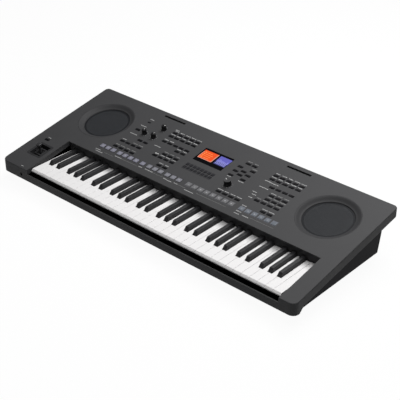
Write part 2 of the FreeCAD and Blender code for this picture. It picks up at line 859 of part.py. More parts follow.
def make_front_rail():
    rail_rear = f"({front_y} + rail_thickness)"
    rail_top = f"({panel_z(front_y, 'band_depth')} + rail_height)"
    rail = side_prism("rail_bar", well_left, well_right, [
        (front_y, "lower_height"),
        (rail_rear, "lower_height"),
        (rail_rear, rail_top),
        (front_y, rail_top),
    ])
    node("front_rail", group("front_rail", [rail]))


def make_feet():
    profile = [
        ("0", "0"),
        ("foot_radius - foot_bevel", "0"),
        ("foot_radius", "foot_bevel"),
        ("foot_radius", "foot_height"),
        ("0", "foot_height"),
    ]
    feet = []
    for x in (f"-{belly_half} + foot_inset", "0", f"{belly_half} - foot_inset"):
        for y in (f"{belly_front} + foot_inset", f"{belly_rear} - foot_inset"):
            feet.append(turned(f"foot_{len(feet)}", profile, x, y))
    node("rubber_feet", group("rubber_feet", feet))


def make_screws():
    profile = [
        ("0", "-screw_head_height"),
        ("screw_head_radius", "-screw_head_height"),
        ("screw_head_radius", "0"),
        ("screw_radius", "0"),
        ("screw_radius", "screw_bite"),
        ("0", "screw_bite"),
    ]
    cheek_screws = []
    for index, (x, y) in enumerate(cheek_screw_places):
        cheek_screws.append(turned(f"cheek_screw_{index}", profile, x, y, "lower_height + screw_head_height"))
    lip_screws = []
    for index, across in enumerate(lip_screw_places):
        lip_screws.append(turned(f"lip_screw_{index}", profile, across, lip_screw_along, "-band_depth"))
    tilted = on_panel(group("lip_screws", lip_screws))
    node("case_screws", group("case_screws", cheek_screws + [tilted]))


# Speakers

def make_speakers():
    bowl_rim = "(speaker_radius - bowl_clearance)"
    bowl_profile = [
        (bowl_rim, "0"),
        (bowl_rim, "-case_wall"),
        (f"{bowl_rim} + bowl_flange", "-case_wall"),
        (f"{bowl_rim} + bowl_flange", "-case_wall - bowl_wall"),
        ("bowl_throat + bowl_wall", "-bowl_depth"),
        ("bowl_throat + bowl_wall", "-bowl_depth - bowl_wall"),
        ("bowl_throat - 2*bowl_wall", "-bowl_depth - bowl_wall"),
        ("bowl_throat - 2*bowl_wall", "-bowl_depth"),
        ("bowl_throat", "-bowl_depth"),
        (f"{bowl_rim} - bowl_wall/2", "0"),
    ]
    grille_profile = [
        ("0", "-bowl_depth"),
        ("bowl_throat - bowl_clearance", "-bowl_depth"),
        ("bowl_throat - bowl_clearance", "-bowl_depth + grille_thickness"),
        ("0", "-bowl_depth + grille_thickness"),
    ]
    ring_top = "(-bowl_depth - bowl_wall)"
    ring_under = f"({ring_top} - woofer_ring)"
    frame_profile = [
        ("woofer_mouth", ring_top),
        ("woofer_ring_radius", ring_top),
        ("woofer_ring_radius", ring_under),
        ("woofer_mouth + woofer_wall", ring_under),
        ("woofer_throat", f"{ring_under} - woofer_depth"),
        ("cone_throat + cone_wall", f"{ring_under} - woofer_depth"),
        ("cone_throat + cone_wall", f"{ring_under} - woofer_depth + woofer_wall"),
        ("woofer_throat - woofer_wall", f"{ring_under} - woofer_depth + woofer_wall"),
        ("woofer_mouth", ring_under),
    ]
    cone_profile = [
        ("woofer_mouth", ring_top),
        ("cone_mouth", ring_top),
        ("cone_throat", f"{ring_top} - cone_depth"),
        ("0", f"{ring_top} - cone_depth"),
        ("0", f"{ring_top} - cone_depth - cone_wall"),
        ("cone_throat", f"{ring_top} - cone_depth - cone_wall"),
        ("cone_mouth", f"{ring_top} - cone_wall"),
        ("woofer_mouth", f"{ring_top} - cone_wall"),
    ]
    magnet_top = f"({ring_under} - woofer_depth)"
    magnet_profile = [
        ("0", f"{magnet_top} - magnet_depth"),
        ("magnet_radius", f"{magnet_top} - magnet_depth"),
        ("magnet_radius", magnet_top),
        ("0", magnet_top),
    ]
    pieces = {
        "speaker_bowls": bowl_profile,
        "speaker_grilles": grille_profile,
        "woofer_frames": frame_profile,
        "woofer_cones": cone_profile,
        "woofer_magnets": magnet_profile,
    }
    for label, profile in pieces.items():
        pair = [turned(f"{label}_{side}", profile, across, "speaker_along")
                for side, across in speaker_sides.items()]
        on_panel(node(label, group(label, pair)))


# Control panel, display and boards

board_post_places = [(across, along)
                     for across in ("(-panel_left + 2*board_margin)", "(panel_middle_post)",
                                    "(panel_right - 2*board_margin)")
                     for along in ("(panel_front + 2*board_margin)", "(panel_rear - 2*board_margin)")]


def speaker_arcs(name, radius):
    # Room for the speaker bowls where they reach into a plate.
    return [cylinder(f"{name}_speaker_{side}", across, "speaker_along", "-4*bowl_depth", radius,
                     "8*bowl_depth") for side, across in speaker_sides.items()]


def make_control_panel():
    plate = box("panel_plate", "-panel_left", "panel_front", "-case_wall", "panel_left + panel_right",
                "panel_rear - panel_front", "case_wall")
    holes = []
    for label, (rows, kind) in panel_buttons.items():
        holes += button_holes(label, rows, kind)
    for label, (across, along, radius, height) in knobs.items():
        holes.append(cylinder(f"{label}_hole", across, along, "-2*case_wall",
                              "stem_radius + stem_hole_gap", "4*case_wall"))
    holes.append(block("display_opening", "display_center", "display_along", "-window_thickness - window_gap",
                       "display_length + 2*window_gap", "display_width + 2*window_gap", "2*case_wall"))
    holes.append(block("display_view", "display_center", "display_along", "-2*case_wall",
                       "display_length - 2*window_ledge", "display_width - 2*window_ledge", "4*case_wall"))
    holes += speaker_arcs("panel", "speaker_radius")
    posts = [plate]
    for index, (across, along) in enumerate(board_post_places):
        posts.append(cylinder(f"board_post_{index}", across, along, board_top, "board_post_radius",
                              f"-case_wall/2 - {board_top}"))
    on_panel(node("control_panel", cut("control_panel", fuse("panel_solid", posts), holes)))


def make_display():
    window = block("window_plate", "display_center", "display_along", "-window_thickness - window_gap",
                   "display_length", "display_width", "window_thickness")
    on_panel(node("display_window", group("display_window", [window])))
    module = block("module_block", "display_center", "display_along", "-case_wall - module_thickness",
                   "display_length", "display_width", "module_thickness")
    on_panel(node("display_module", group("display_module", [module])))


def make_panel_board():
    board_across = "(-panel_left + board_margin)"
    board_along = "(panel_front + board_margin)"
    length = "panel_left + panel_right - 2*board_margin"
    width = "panel_rear - panel_front - 2*board_margin"
    board = box("panel_board_plate", board_across, board_along, board_under, length, width, "board_thickness")
    sheet_plate = box("rubber_plate", board_across, board_along, board_top, length, width, "rubber_thickness")
    board_holes = []
    rubber_holes = []
    for label, (across, along, radius, height) in knobs.items():
        for kind, holes in (("board", board_holes), ("rubber", rubber_holes)):
            holes.append(cylinder(f"{kind}_hole_{label}", across, along, f"{board_under} - board_thickness",
                                  "stem_radius + stem_hole_gap", "5*board_thickness"))
    for kind, holes in (("board", board_holes), ("rubber", rubber_holes)):
        holes.append(block(f"{kind}_display_hole", "display_center", "display_along",
                           "-case_wall - 2*module_thickness", "display_length + 4*window_gap",
                           "display_width + 4*window_gap", "2*module_thickness"))
    for index, (across, along) in enumerate(board_post_places):
        rubber_holes.append(cylinder(f"rubber_post_hole_{index}", across, along,
                                     f"{board_top} - rubber_thickness/2",
                                     "board_post_radius + board_post_gap", "3*rubber_thickness"))
    bowl_room = "speaker_radius + bowl_flange + board_post_gap"
    board_holes += speaker_arcs("board", bowl_room)
    rubber_holes += speaker_arcs("rubber", bowl_room)
    on_panel(node("panel_board", cut("panel_board", board, board_holes)))
    on_panel(node("button_rubber_sheet", cut("button_rubber_sheet", sheet_plate, rubber_holes)))


def board_corners():
    inset = "2*standoff_radius"
    for x in (f"-board_length/2 + {inset}", f"board_length/2 - {inset}"):
        for y in (f"board_front + {inset}", f"board_front + board_width - {inset}"):
            yield x, y


def make_main_board():
    board = box("main_board_plate", "-board_length/2", "board_front", f"{belly_floor} + standoff_height",
                "board_length", "board_width", "board_thickness")
    node("main_board", group("main_board", [board]))
    # Two flat cables climb from the main board to the underside of the panel board
    ribbon_y = "(board_front + board_width/2)"
    ribbon_foot = f"({belly_floor} + standoff_height + board_thickness)"
    ribbon_head = panel_z(ribbon_y, f"-{board_under} + ribbon_thickness/2")
    ribbons = []
    for index in range(2):
        x = f"(ribbon_first + {index}*ribbon_pitch)"
        ribbons.append(block(f"ribbon_{index}", x, ribbon_y, ribbon_foot, "ribbon_width", "ribbon_thickness",
                             f"{ribbon_head} - {ribbon_foot}"))
    node("ribbon_cables", group("ribbon_cables", ribbons))


# Keyboard

octaves = 5
notes = ["c", "c_sharp", "d", "d_sharp", "e", "f", "f_sharp", "g", "g_sharp", "a", "a_sharp", "b"]
white_notes = [0, 2, 4, 5, 7, 9, 11]


def tail_slot(note):
    # Left end and width of a note's share of the key tails, from the left of its octave.
    if note < 5:
        share = "(3*white_pitch/5)"
        return f"({note}*{share})", share
    share = "(4*white_pitch/7)"
    return f"(3*white_pitch + {note - 5}*{share})", share


def octave_left(octave):
    return f"({key_left} + {7 * octave}*white_pitch)"


def tail_middle(octave, note):
    left, share = tail_slot(note)
    return f"({octave_left(octave)} + {left} + {share}/2)"


def key_arm(name, octave, note):
    # The narrow arm under the fascia, and the boss that turns on the hinge rod.
    middle = tail_middle(octave, note)
    arm = box(name + "_arm", f"{middle} - arm_width/2", fascia_y, key_bottom, "arm_width",
              f"{pivot_y} - {fascia_y}", "key_thickness")
    boss = cylinder(name + "_boss", f"{middle} - arm_width/2", pivot_y, pivot_z, "key_boss_radius",
                    "arm_width", "x")
    return [arm, boss]


def key_bore(name, octave, note):
    middle = tail_middle(octave, note)
    return cylinder(name + "_bore", f"{middle} - arm_width", pivot_y, pivot_z, "rod_radius + rod_clearance",
                    "2*arm_width", "x")


def white_key(octave, note, full_tail=False):
    name = f"white_{octave}_{note}"
    head_left = f"({octave_left(octave)} + {white_notes.index(note)}*white_pitch + key_gap/2)"
    head = box(name + "_head", head_left, key_front, key_bottom, "white_pitch - key_gap", "white_head",
               "key_thickness")
    left, share = tail_slot(note)
    tail_left = f"({octave_left(octave)} + {left} + tail_gap/2)"
    tail_width = f"({share} - tail_gap)"
    if full_tail:
        tail_width = f"({head_left} + white_pitch - key_gap - {tail_left})"
    tail = box(name + "_tail", tail_left, f"{key_front} + white_head", key_bottom, tail_width,
               f"{fascia_y} + tail_cover - {key_front} - white_head", "key_thickness")
    solid = fuse(name + "_solid", [head, tail] + key_arm(name, octave, note))
    return cut(name, solid, [key_bore(name, octave, note)])


def black_key(octave, note):
    name = f"black_{octave}_{note}"
    black_rear = f"({fascia_y} + tail_cover)"
    length = f"({black_rear} - {key_front} - white_head - black_setback)"
    middle = tail_middle(octave, note)
    base = box(name + "_base", f"{middle} - black_width/2", f"{black_rear} - {length}", key_bottom,
               "black_width", length, "key_thickness")
    cap = doc.addObject("Part::Wedge", name + "_cap")
    bind(cap, Xmin="-black_width/2", Xmax="black_width/2", Ymin="0", Ymax="black_rise")
    bind(cap, X2min="-black_top_width/2", X2max="black_top_width/2", Zmin="0", Zmax=length)
    bind(cap, Z2min="0", Z2max=f"{length} - black_front_slope")
    turn(cap, (1, 0, 0), 90)
    move(cap, middle, black_rear, "key_top_height")
    solid = fuse(name + "_solid", [base, cap] + key_arm(name, octave, note))
    return cut(name, solid, [key_bore(name, octave, note)])


def make_keys():
    for note, label in enumerate(notes):
        make = white_key if note in white_notes else black_key
        keys = [make(octave, note) for octave in range(octaves)]
        if note == 0:
            keys.append(white_key(octaves, 0, full_tail=True))
        node("keys_" + label, group("keys_" + label, keys))


def make_key_frame():
    frame_left = f"({key_left} - bracket_thickness)"
    frame_length = "(keys_length + bracket_thickness)"
    frame_front = f"({key_front} + frame_margin)"
    sheet_top = f"({lower_floor} + frame_sheet)"
    plate = box("frame_plate", frame_left, frame_front, lower_floor, frame_length,
                f"{pivot_y} + bracket_half_length - {frame_front}", "frame_sheet")
    felt_y = f"({key_front} + felt_setback)"
    felt_top = f"({key_bottom} - ({pivot_y} - {felt_y})*sin(key_travel) - press_clearance)"
    felt_rail = box("felt_rail", key_left, felt_y, lower_floor, "keys_length", "felt_depth",
                    f"{felt_top} - felt_thickness - {lower_floor}")
    contact_rail = block("contact_rail", "key_center", contact_y, lower_floor, "keys_length", "contact_width",
                         "frame_sheet + contact_post_height")
    brackets = []
    for octave in range(octaves + 1):
        x = f"({octave_left(octave)} - bracket_thickness/2)"
        brackets.append(hinge_bracket(f"bracket_{octave}", x, sheet_top))
    last_bracket = f"({tail_middle(octaves, 0)} + arm_width/2 + key_gap)"
    brackets.append(hinge_bracket("bracket_last", last_bracket, sheet_top))
    node("key_frame", fuse("key_frame", [plate, felt_rail, contact_rail] + brackets))

    rod_left = f"({key_left} - bracket_thickness)"
    node("key_hinge_rod", cylinder("key_hinge_rod", rod_left, pivot_y, pivot_z, "rod_radius",
                                   f"{last_bracket} + 2*bracket_thickness - {rod_left}", "x"))

    # The front felt stops a key going down, the rear felt stops it coming up
    front_felt = box("front_felt", key_left, felt_y, f"{felt_top} - felt_thickness", "keys_length",
                     "felt_depth", "felt_thickness")
    rear_felt = box("rear_felt", key_left, rear_felt_y, "key_top_height + press_clearance",
                    "keys_length", "felt_depth", "felt_thickness")
    node("key_stop_felts", group("key_stop_felts", [front_felt, rear_felt]))

    board_z = f"({sheet_top} + contact_post_height)"
    board = block("contact_board", "key_center", contact_y, board_z, "keys_length", "contact_width",
                  "contact_board_thickness")
    node("key_contact_board", group("key_contact_board", [board]))
    rubber_z = f"({board_z} + contact_board_thickness)"
    pressed = (f"({key_bottom} - (contact_reach + contact_rubber_width/2)*sin(key_travel)"
               f" - press_clearance)")
    rubber = block("contact_rubber", "key_center", contact_y, rubber_z, "keys_length", "contact_rubber_width",
                   f"{pressed} - {rubber_z}")
    node("key_contact_rubber", group("key_contact_rubber", [rubber]))


def hinge_bracket(name, x, foot):
    upright = box(name, x, f"{pivot_y} - bracket_half_length", foot, "bracket_thickness",
                  "2*bracket_half_length", f"{pivot_z} + key_boss_radius - {foot}")
    hole = cylinder(name + "_hole", f"{x} - bracket_thickness", pivot_y, pivot_z,
                    "rod_radius + rod_clearance", "3*bracket_thickness", "x")
    return cut(name + "_cut", upright, [hole])


def make_fascia():
    wall = box("fascia_wall", well_left, "well_depth", f"-{fascia_drop}", f"{well_right} - {well_left}",
               "fascia_thickness", f"{fascia_drop} - case_wall")
    notch_top = f"({fascia_drop} - black_rise/cos(panel_tilt))"
    notches = []
    for octave in range(octaves):
        for note in range(len(notes)):
            if note not in white_notes:
                notches.append(block(f"notch_{octave}_{note}", tail_middle(octave, note), "well_depth",
                                     f"-2*{fascia_drop}", "black_width + 2*fascia_notch_gap",
                                     "4*fascia_thickness", f"2*{fascia_drop} - {notch_top}"))
    comb = on_panel(cut("fascia_comb", wall, notches))
    # A ledge behind the wall, with a step down, carries the rear felt
    ledge_front = f"({fascia_y} - fascia_thickness/2)"
    ledge = box("fascia_ledge", well_left, ledge_front, f"{rear_felt_top} + black_rise",
                f"{well_right} - {well_left}", f"{rear_felt_y} + felt_depth - {ledge_front}",
                "fascia_thickness")
    drop = box("fascia_step", well_left, rear_felt_y, rear_felt_top, f"{well_right} - {well_left}",
               "felt_depth", "black_rise + fascia_thickness")
    node("key_fascia", fuse("key_fascia", [comb, ledge, drop]))


# Joystick

stick_axis = "(-stick_axis_depth)"


def make_joystick():
    outer = stick_well("stick_cup_outer", "0", "0", "-stick_well_depth - stick_wall")
    inner = stick_well("stick_cup_inner", "-stick_wall", "stick_well_depth", "-stick_well_depth")
    pin_length = "(stick_well_length/2 - stick_wall/2)"
    bores = cylinder("stick_cup_bore", "stick_across - stick_well_length", "stick_along", stick_axis,
                     "stick_pin_radius + stick_pin_clearance", "2*stick_well_length", "x")
    on_panel(node("joystick_housing", cut("joystick_housing", outer, [inner, bores])))

    # The gimbal ring turns on pins across the housing, the lever on a pin along the gimbal
    ring_outer = block("gimbal_outer", "stick_across", "stick_along", f"{stick_axis} - gimbal_height/2",
                       "2*gimbal_inner + 2*gimbal_bar", "2*gimbal_inner + 2*gimbal_bar", "gimbal_height")
    ring_inner = block("gimbal_hole", "stick_across", "stick_along", f"{stick_axis} - gimbal_height",
                       "2*gimbal_inner", "2*gimbal_inner", "2*gimbal_height")
    ring_bore = cylinder("gimbal_bore", "stick_across", "stick_along - 2*gimbal_inner", stick_axis,
                         "stick_pin_radius + stick_pin_clearance", "4*gimbal_inner", "y")
    ring = cut("gimbal_ring", ring_outer, [ring_inner, ring_bore])
    pins = [
        cylinder("gimbal_pin_left", f"stick_across - {pin_length}", "stick_along", stick_axis,
                 "stick_pin_radius", f"{pin_length} - gimbal_inner - gimbal_bar/2", "x"),
        cylinder("gimbal_pin_right", "stick_across + gimbal_inner + gimbal_bar/2", "stick_along", stick_axis,
                 "stick_pin_radius", f"{pin_length} - gimbal_inner - gimbal_bar/2", "x"),
    ]
    on_panel(node("joystick_gimbal", fuse("joystick_gimbal", [ring] + pins)))

    hub = cylinder("stick_hub", "stick_across", "stick_along - hub_length/2", stick_axis, "hub_radius",
                   "hub_length", "y")
    pin = cylinder("stick_pin", "stick_across", "stick_along - gimbal_inner - gimbal_bar", stick_axis,
                   "stick_pin_radius", "2*gimbal_inner + 2*gimbal_bar", "y")
    stem = turned("stick_stem", [
        ("0", stick_axis),
        ("stick_radius", stick_axis),
        ("stick_radius - stick_bevel", "stick_height"),
        ("stick_cap_radius", "stick_height + stick_cap_height/2"),
        ("stick_cap_radius - stick_bevel", "stick_height + stick_cap_height"),
        ("0", "stick_height + stick_cap_height"),
    ], "stick_across", "stick_along")
    on_panel(node("joystick_lever", fuse("joystick_lever", [hub, pin, stem])))


# Sockets

rear_jack_places = [f"(rear_jack_first + {index}*rear_jack_pitch)" for index in range(4)]
usb_places = [f"(usb_first + {index}*usb_pitch)" for index in range(2)]
wall_inner_y = f"({lower_rear_y} - case_wall)"


def rear_hole(name, x, radius):
    return cylinder(name, x, f"{lower_rear_y} - 2*case_wall", "rear_socket_height", radius, "3*case_wall",
                    "y")


def round_socket(name, x, face_y, z, bore, body, length, depth, inward):
    # A block behind the wall with a round nose through it, and a bore from outside.
    sign = "+" if inward > 0 else "-"
    wall_y = f"({face_y} {sign} case_wall)"
    back_y = f"({wall_y} {sign} {length})"
    low = wall_y if inward > 0 else back_y
    nose_low = face_y if inward > 0 else wall_y
    bore_low = f"({face_y} - case_wall)" if inward > 0 else f"({face_y} - {depth})"
    shell = box(name + "_body", f"{x} - {body}/2", low, f"{z} - {body}/2", body, length, body)
    nose = cylinder(name + "_nose", x, nose_low, z, "jack_nose", "case_wall", "y")
    hole = cylinder(name + "_bore", x, bore_low, z, bore, f"case_wall + {depth}", "y")
    return cut(name, fuse(name + "_solid", [shell, nose]), [hole])


def make_sockets():
    jack_bore_depth = "(jack_body_length - case_wall)"
    node("phones_jack", round_socket("phones_jack", "phones_across", front_y, "phones_height", "jack_bore",
                                     "jack_body", "jack_body_length", jack_bore_depth, 1))
    jacks = [round_socket(f"rear_jack_{index}", x, lower_rear_y, "rear_socket_height", "jack_bore",
                          "jack_body", "jack_body_length", jack_bore_depth, -1)
             for index, x in enumerate(rear_jack_places)]
    node("rear_jacks", group("rear_jacks", jacks))
    inlet = round_socket("dc_shell", "dc_across", lower_rear_y, "rear_socket_height", "dc_bore", "dc_body",
                         "dc_body_length", "(dc_body_length - case_wall)", -1)
    pin = cylinder("dc_pin", "dc_across", f"{lower_rear_y} - dc_body_length", "rear_socket_height", "dc_pin",
                   "dc_body_length - case_wall", "y")
    node("dc_inlet", fuse("dc_inlet", [inlet, pin]))
    ports = []
    for index, x in enumerate(usb_places):
        port = block(f"usb_shell_{index}", x, f"({lower_rear_y} - usb_depth/2)",
                     "rear_socket_height - usb_height/2", "usb_length", "usb_depth", "usb_height")
        mouth = block(f"usb_mouth_{index}", x, lower_rear_y, "rear_socket_height - usb_height/2 + usb_wall",
                      "usb_length - 2*usb_wall", "2*usb_depth - 4*usb_wall", "usb_height - 2*usb_wall")
        ports.append(cut(f"usb_{index}", port, [mouth]))
    node("usb_sockets", group("usb_sockets", ports))


make_top_case()
make_bottom_case()
make_front_rail()
make_feet()
make_screws()
make_speakers()
make_control_panel()
make_display()
make_panel_board()
make_main_board()
make_knobs()
make_pots()
for button_label, (button_rows, button_kind) in {**panel_buttons, **case_buttons}.items():
    button_caps(button_label, button_rows, button_kind)
make_joystick()
make_keys()
make_key_frame()
make_fascia()
make_sockets()
doc.recompute()

failed = [item.Name for item in doc.Objects if "Invalid" in item.State or "Error" in item.State]
if failed:
    raise RuntimeError(f"objects that failed: {failed}")
for item in nodes:
    if item.Shape.isNull() or not item.Shape.isValid():
        raise RuntimeError(f"{item.Label} has no valid shape")

os.makedirs("parts", exist_ok=True)
for item in nodes:
    item.Shape.exportStep(f"parts/{item.Label}.step")
    print(item.Label, len(item.Shape.Solids), round(item.Shape.Volume))
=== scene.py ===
import bmesh
import bpy
import math
import random
from mathutils import Matrix, Vector


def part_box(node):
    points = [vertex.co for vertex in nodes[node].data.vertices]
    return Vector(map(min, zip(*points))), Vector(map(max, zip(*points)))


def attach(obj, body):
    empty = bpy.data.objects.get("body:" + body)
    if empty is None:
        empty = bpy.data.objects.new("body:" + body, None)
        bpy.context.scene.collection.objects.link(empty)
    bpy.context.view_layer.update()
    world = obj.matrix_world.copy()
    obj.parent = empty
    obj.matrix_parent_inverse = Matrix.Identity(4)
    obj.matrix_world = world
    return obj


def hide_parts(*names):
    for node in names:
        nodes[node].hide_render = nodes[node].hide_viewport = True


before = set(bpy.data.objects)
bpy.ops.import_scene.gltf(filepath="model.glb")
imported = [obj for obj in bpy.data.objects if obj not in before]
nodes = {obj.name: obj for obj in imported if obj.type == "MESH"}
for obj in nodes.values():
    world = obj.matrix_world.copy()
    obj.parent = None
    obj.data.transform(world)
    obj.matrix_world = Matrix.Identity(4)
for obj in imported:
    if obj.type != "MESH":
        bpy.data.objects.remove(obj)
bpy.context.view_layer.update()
scene = bpy.context.scene
scene.view_settings.view_transform = "Standard"
dice = random.Random(61)
mm = 0.001
print("frame loaded:", len(nodes), "nodes")

# The tilted top: across is X, along runs up the panel from the front edge, off stands square to it
panel = {"tilt": math.radians(10), "frontHeight": 62 * mm}
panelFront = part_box("top_case")[0].y
toPanel = (Matrix.Translation((0, panelFront, panel["frontHeight"]))
           @ Matrix.Rotation(panel["tilt"], 4, "X"))
fromPanel = toPanel.inverted()


# Shader groups

def addSocket(tree, label, side):
    kind = "NodeSocketColor" if label == "Color" else "NodeSocketFloat"
    return tree.interface.new_socket(label, in_out=side, socket_type=kind)


def newGroup(name, inputs):
    tree = bpy.data.node_groups.new(name, "ShaderNodeTree")
    for label, value in inputs.items():
        addSocket(tree, label, "INPUT").default_value = value
    return tree, tree.nodes.new("NodeGroupInput").outputs


def endGroup(tree, **results):
    for label in results:
        addSocket(tree, label, "OUTPUT")
    end = tree.nodes.new("NodeGroupOutput")
    for label, source in results.items():
        tree.links.new(source, end.inputs[label])
    return tree


def feed(tree, socket, value):
    # Links an output of another node, or sets a fixed value
    if isinstance(value, bpy.types.NodeSocket):
        tree.links.new(value, socket)
    else:
        socket.default_value = value


def addNode(tree, kind, *sockets, **values):
    # Values set properties or inputs by name; sockets feed the inputs in order
    node = tree.nodes.new("ShaderNode" + kind)
    for key, value in values.items():
        if hasattr(node, key):
            setattr(node, key, value)
        else:
            feed(tree, node.inputs[key], value)
    for socket, value in zip(node.inputs, sockets):
        feed(tree, socket, value)
    return node


def mathNode(tree, operation, first, second):
    return addNode(tree, "Math", first, second, operation=operation).outputs[0]


def plus(tree, first, second):
    return mathNode(tree, "ADD", first, second)


def times(tree, first, second):
    return mathNode(tree, "MULTIPLY", first, second)


def mixNode(tree, factor, first, second, blend="MIX"):
    mix = addNode(tree, "Mix", data_type="RGBA", blend_type=blend)
    for index, value in ((0, factor), (6, first), (7, second)):  # the colour sockets of the node
        feed(tree, mix.inputs[index], value)
    return mix.outputs[2]


def tintNode(tree, color, factor):
    # Lightens or darkens a colour by a factor around one
    spread = addNode(tree, "CombineColor", factor, factor, factor)
    return mixNode(tree, 1, color, spread.outputs[0], "MULTIPLY")


grainForm = {"broadScale": 9, "broadDetail": 3, "pitDetail": 2, "pitShare": 0.6}


def makeMouldGrain():
    # Fine pitted grain of moulded plastic, with broad uneven tone and sheen
    tree, given = newGroup("mouldGrain", {
        "Color": (0.5, 0.5, 0.5, 1), "Tone Spread": 0.1, "Roughness": 0.5, "Sheen Spread": 0.1,
        "Grain Scale": 2500})
    place = addNode(tree, "TexCoord").outputs["Object"]
    broad = addNode(tree, "TexNoise", Vector=place, Scale=grainForm["broadScale"],
                    Detail=grainForm["broadDetail"]).outputs[0]
    grain = addNode(tree, "TexNoise", Vector=place, Scale=given["Grain Scale"],
                    Detail=grainForm["pitDetail"]).outputs[0]
    swing, pits = plus(tree, broad, -0.5), plus(tree, grain, -0.5)
    both = plus(tree, swing, times(tree, pits, grainForm["pitShare"]))
    tone = plus(tree, times(tree, both, given["Tone Spread"]), 1)
    rough = plus(tree, given["Roughness"], times(tree, swing, given["Sheen Spread"]))
    color = tintNode(tree, given["Color"], tone)
    return endGroup(tree, Color=color, Roughness=rough, Height=grain)


edgeForm = {"samples": 4, "patchScale": 160, "patchDetail": 3}


def makeEdgeHighlightAndWear():
    # Mask of the outer edges, from how far a rounded normal leaves the flat one, in patches: it
    # lightens edges as a painted highlight with some wear
    tree, given = newGroup("edgeHighlightAndWear", {"Width": 0.6 * mm, "Amount": 1})
    soft = addNode(tree, "Bevel", samples=edgeForm["samples"], Radius=given["Width"])
    flat = addNode(tree, "NewGeometry").outputs["Normal"]
    dot = addNode(tree, "VectorMath", soft.outputs[0], flat, operation="DOT_PRODUCT")
    bent = mathNode(tree, "SUBTRACT", 1, dot.outputs["Value"])
    place = addNode(tree, "TexCoord").outputs["Object"]
    patch = addNode(tree, "TexNoise", Vector=place, Scale=edgeForm["patchScale"],
                    Detail=edgeForm["patchDetail"]).outputs[0]
    litAndWorn = times(tree, times(tree, bent, given["Amount"]), patch)
    return endGroup(tree, Mask=mathNode(tree, "MINIMUM", litAndWorn, 1))


brushForm = {"stretch": (30, 1500, 1500), "detail": 2, "toneSwing": 0.35, "sheenSwing": 0.3}


def makeBrushed():
    # Lines drawn along X, as on rolled or turned metal
    tree, given = newGroup("brushedLines", {"Color": (0.5, 0.5, 0.5, 1), "Roughness": 0.35})
    place = addNode(tree, "TexCoord").outputs["Object"]
    stretch = addNode(tree, "Mapping", Vector=place, Scale=brushForm["stretch"])
    lines = addNode(tree, "TexNoise", Vector=stretch.outputs[0], Scale=1,
                    Detail=brushForm["detail"]).outputs[0]
    swing = plus(tree, lines, -0.5)
    tone = plus(tree, times(tree, swing, brushForm["toneSwing"]), 1)
    rough = plus(tree, given["Roughness"], times(tree, swing, brushForm["sheenSwing"]))
    color = tintNode(tree, given["Color"], tone)
    return endGroup(tree, Color=color, Roughness=rough, Height=lines)


mouldGrain = makeMouldGrain()
edgeHighlightAndWear = makeEdgeHighlightAndWear()
brushedLines = makeBrushed()


# Materials

bumpDepth = 0.1 * mm


def startMaterial(name, **sockets):
    material = bpy.data.materials.new(name)
    material.use_nodes = True
    shader = material.node_tree.nodes["Principled BSDF"]
    for label, value in sockets.items():
        shader.inputs[label.replace("_", " ")].default_value = value
    return material, material.node_tree, shader


def dress(tree, shader, group, values, bump, edge=None):
    # Puts a surface group before the shader; edge gives (width, amount, colour) of a lighter rim, a
    # painted edge highlight with some wear
    skin = addNode(tree, "Group", node_tree=group, **values)
    color = skin.outputs["Color"]
    if edge:
        width, amount, pale = edge
        rim = addNode(tree, "Group", node_tree=edgeHighlightAndWear, Width=width, Amount=amount)
        color = mixNode(tree, rim.outputs["Mask"], color, (*pale, 1))
    dent = addNode(tree, "Bump", Height=skin.outputs["Height"], Strength=bump,
                   Distance=bumpDepth)
    tree.links.new(color, shader.inputs["Base Color"])
    tree.links.new(skin.outputs["Roughness"], shader.inputs["Roughness"])
    tree.links.new(dent.outputs[0], shader.inputs["Normal"])


def plastic(name, color, rough, grain=2500, bump=0.25, tone=0.16, sheen=0.1, shine=0.5, edge=None):
    material, tree, shader = startMaterial(name, Specular_IOR_Level=shine)
    values = {"Color": (*color, 1), "Roughness": rough, "Grain Scale": grain, "Tone Spread": tone,
              "Sheen Spread": sheen}
    dress(tree, shader, mouldGrain, values, bump, edge)
    return material


def metal(name, color, rough):
    material, tree, shader = startMaterial(name, Metallic=1)
    dress(tree, shader, brushedLines, {"Color": (*color, 1), "Roughness": rough}, bump=0.1)
    return material


screenForm = {"dotScale": 2600, "dotSwing": 0.25, "dotFloor": 0.85, "unlit": (0.01, 0.01, 0.012, 1)}


def lit(name, color):
    # A lit patch of the screen under its clear cover
    material, tree, shader = startMaterial(name, Roughness=0.25, Specular_IOR_Level=0.1,
                                           Base_Color=screenForm["unlit"], Emission_Strength=1)
    place = addNode(tree, "TexCoord").outputs["Object"]
    dots = addNode(tree, "TexVoronoi", Vector=place, Scale=screenForm["dotScale"])
    swing = times(tree, dots.outputs["Distance"], screenForm["dotSwing"])
    tone = plus(tree, swing, screenForm["dotFloor"])
    tree.links.new(tintNode(tree, (*color, 1), tone), shader.inputs["Emission Color"])
    return material


fineGrain = {"grain": 3000, "bump": 0.15}
sheetGrain = {"grain": 4000, "bump": 0.1}
inkGrain = {"grain": 5000, "bump": 0.05}

caseSkin = plastic("caseCharcoal", (0.05, 0.05, 0.052), 0.58, shine=0.2)
dishSkin = plastic("dishCharcoal", (0.044, 0.044, 0.046), 0.58, shine=0.15)
whiteKeySkin = plastic("keyIvoryWhite", (0.83, 0.82, 0.82), 0.3, grain=600, bump=0.02, tone=0.02,
                       sheen=0.08, shine=0.25)
# The pale rim along the black keys' shoulders is a painted highlight, partly wear
blackKeySkin = plastic("keyEbonyBlack", (0.03, 0.03, 0.032), 0.4, grain=1800, bump=0.12,
                       shine=0.2, edge=(0.0012, 0.9, (0.12, 0.12, 0.125)))
stickSkin = plastic("stickBlack", (0.034, 0.034, 0.036), 0.32, shine=0.4, **fineGrain)
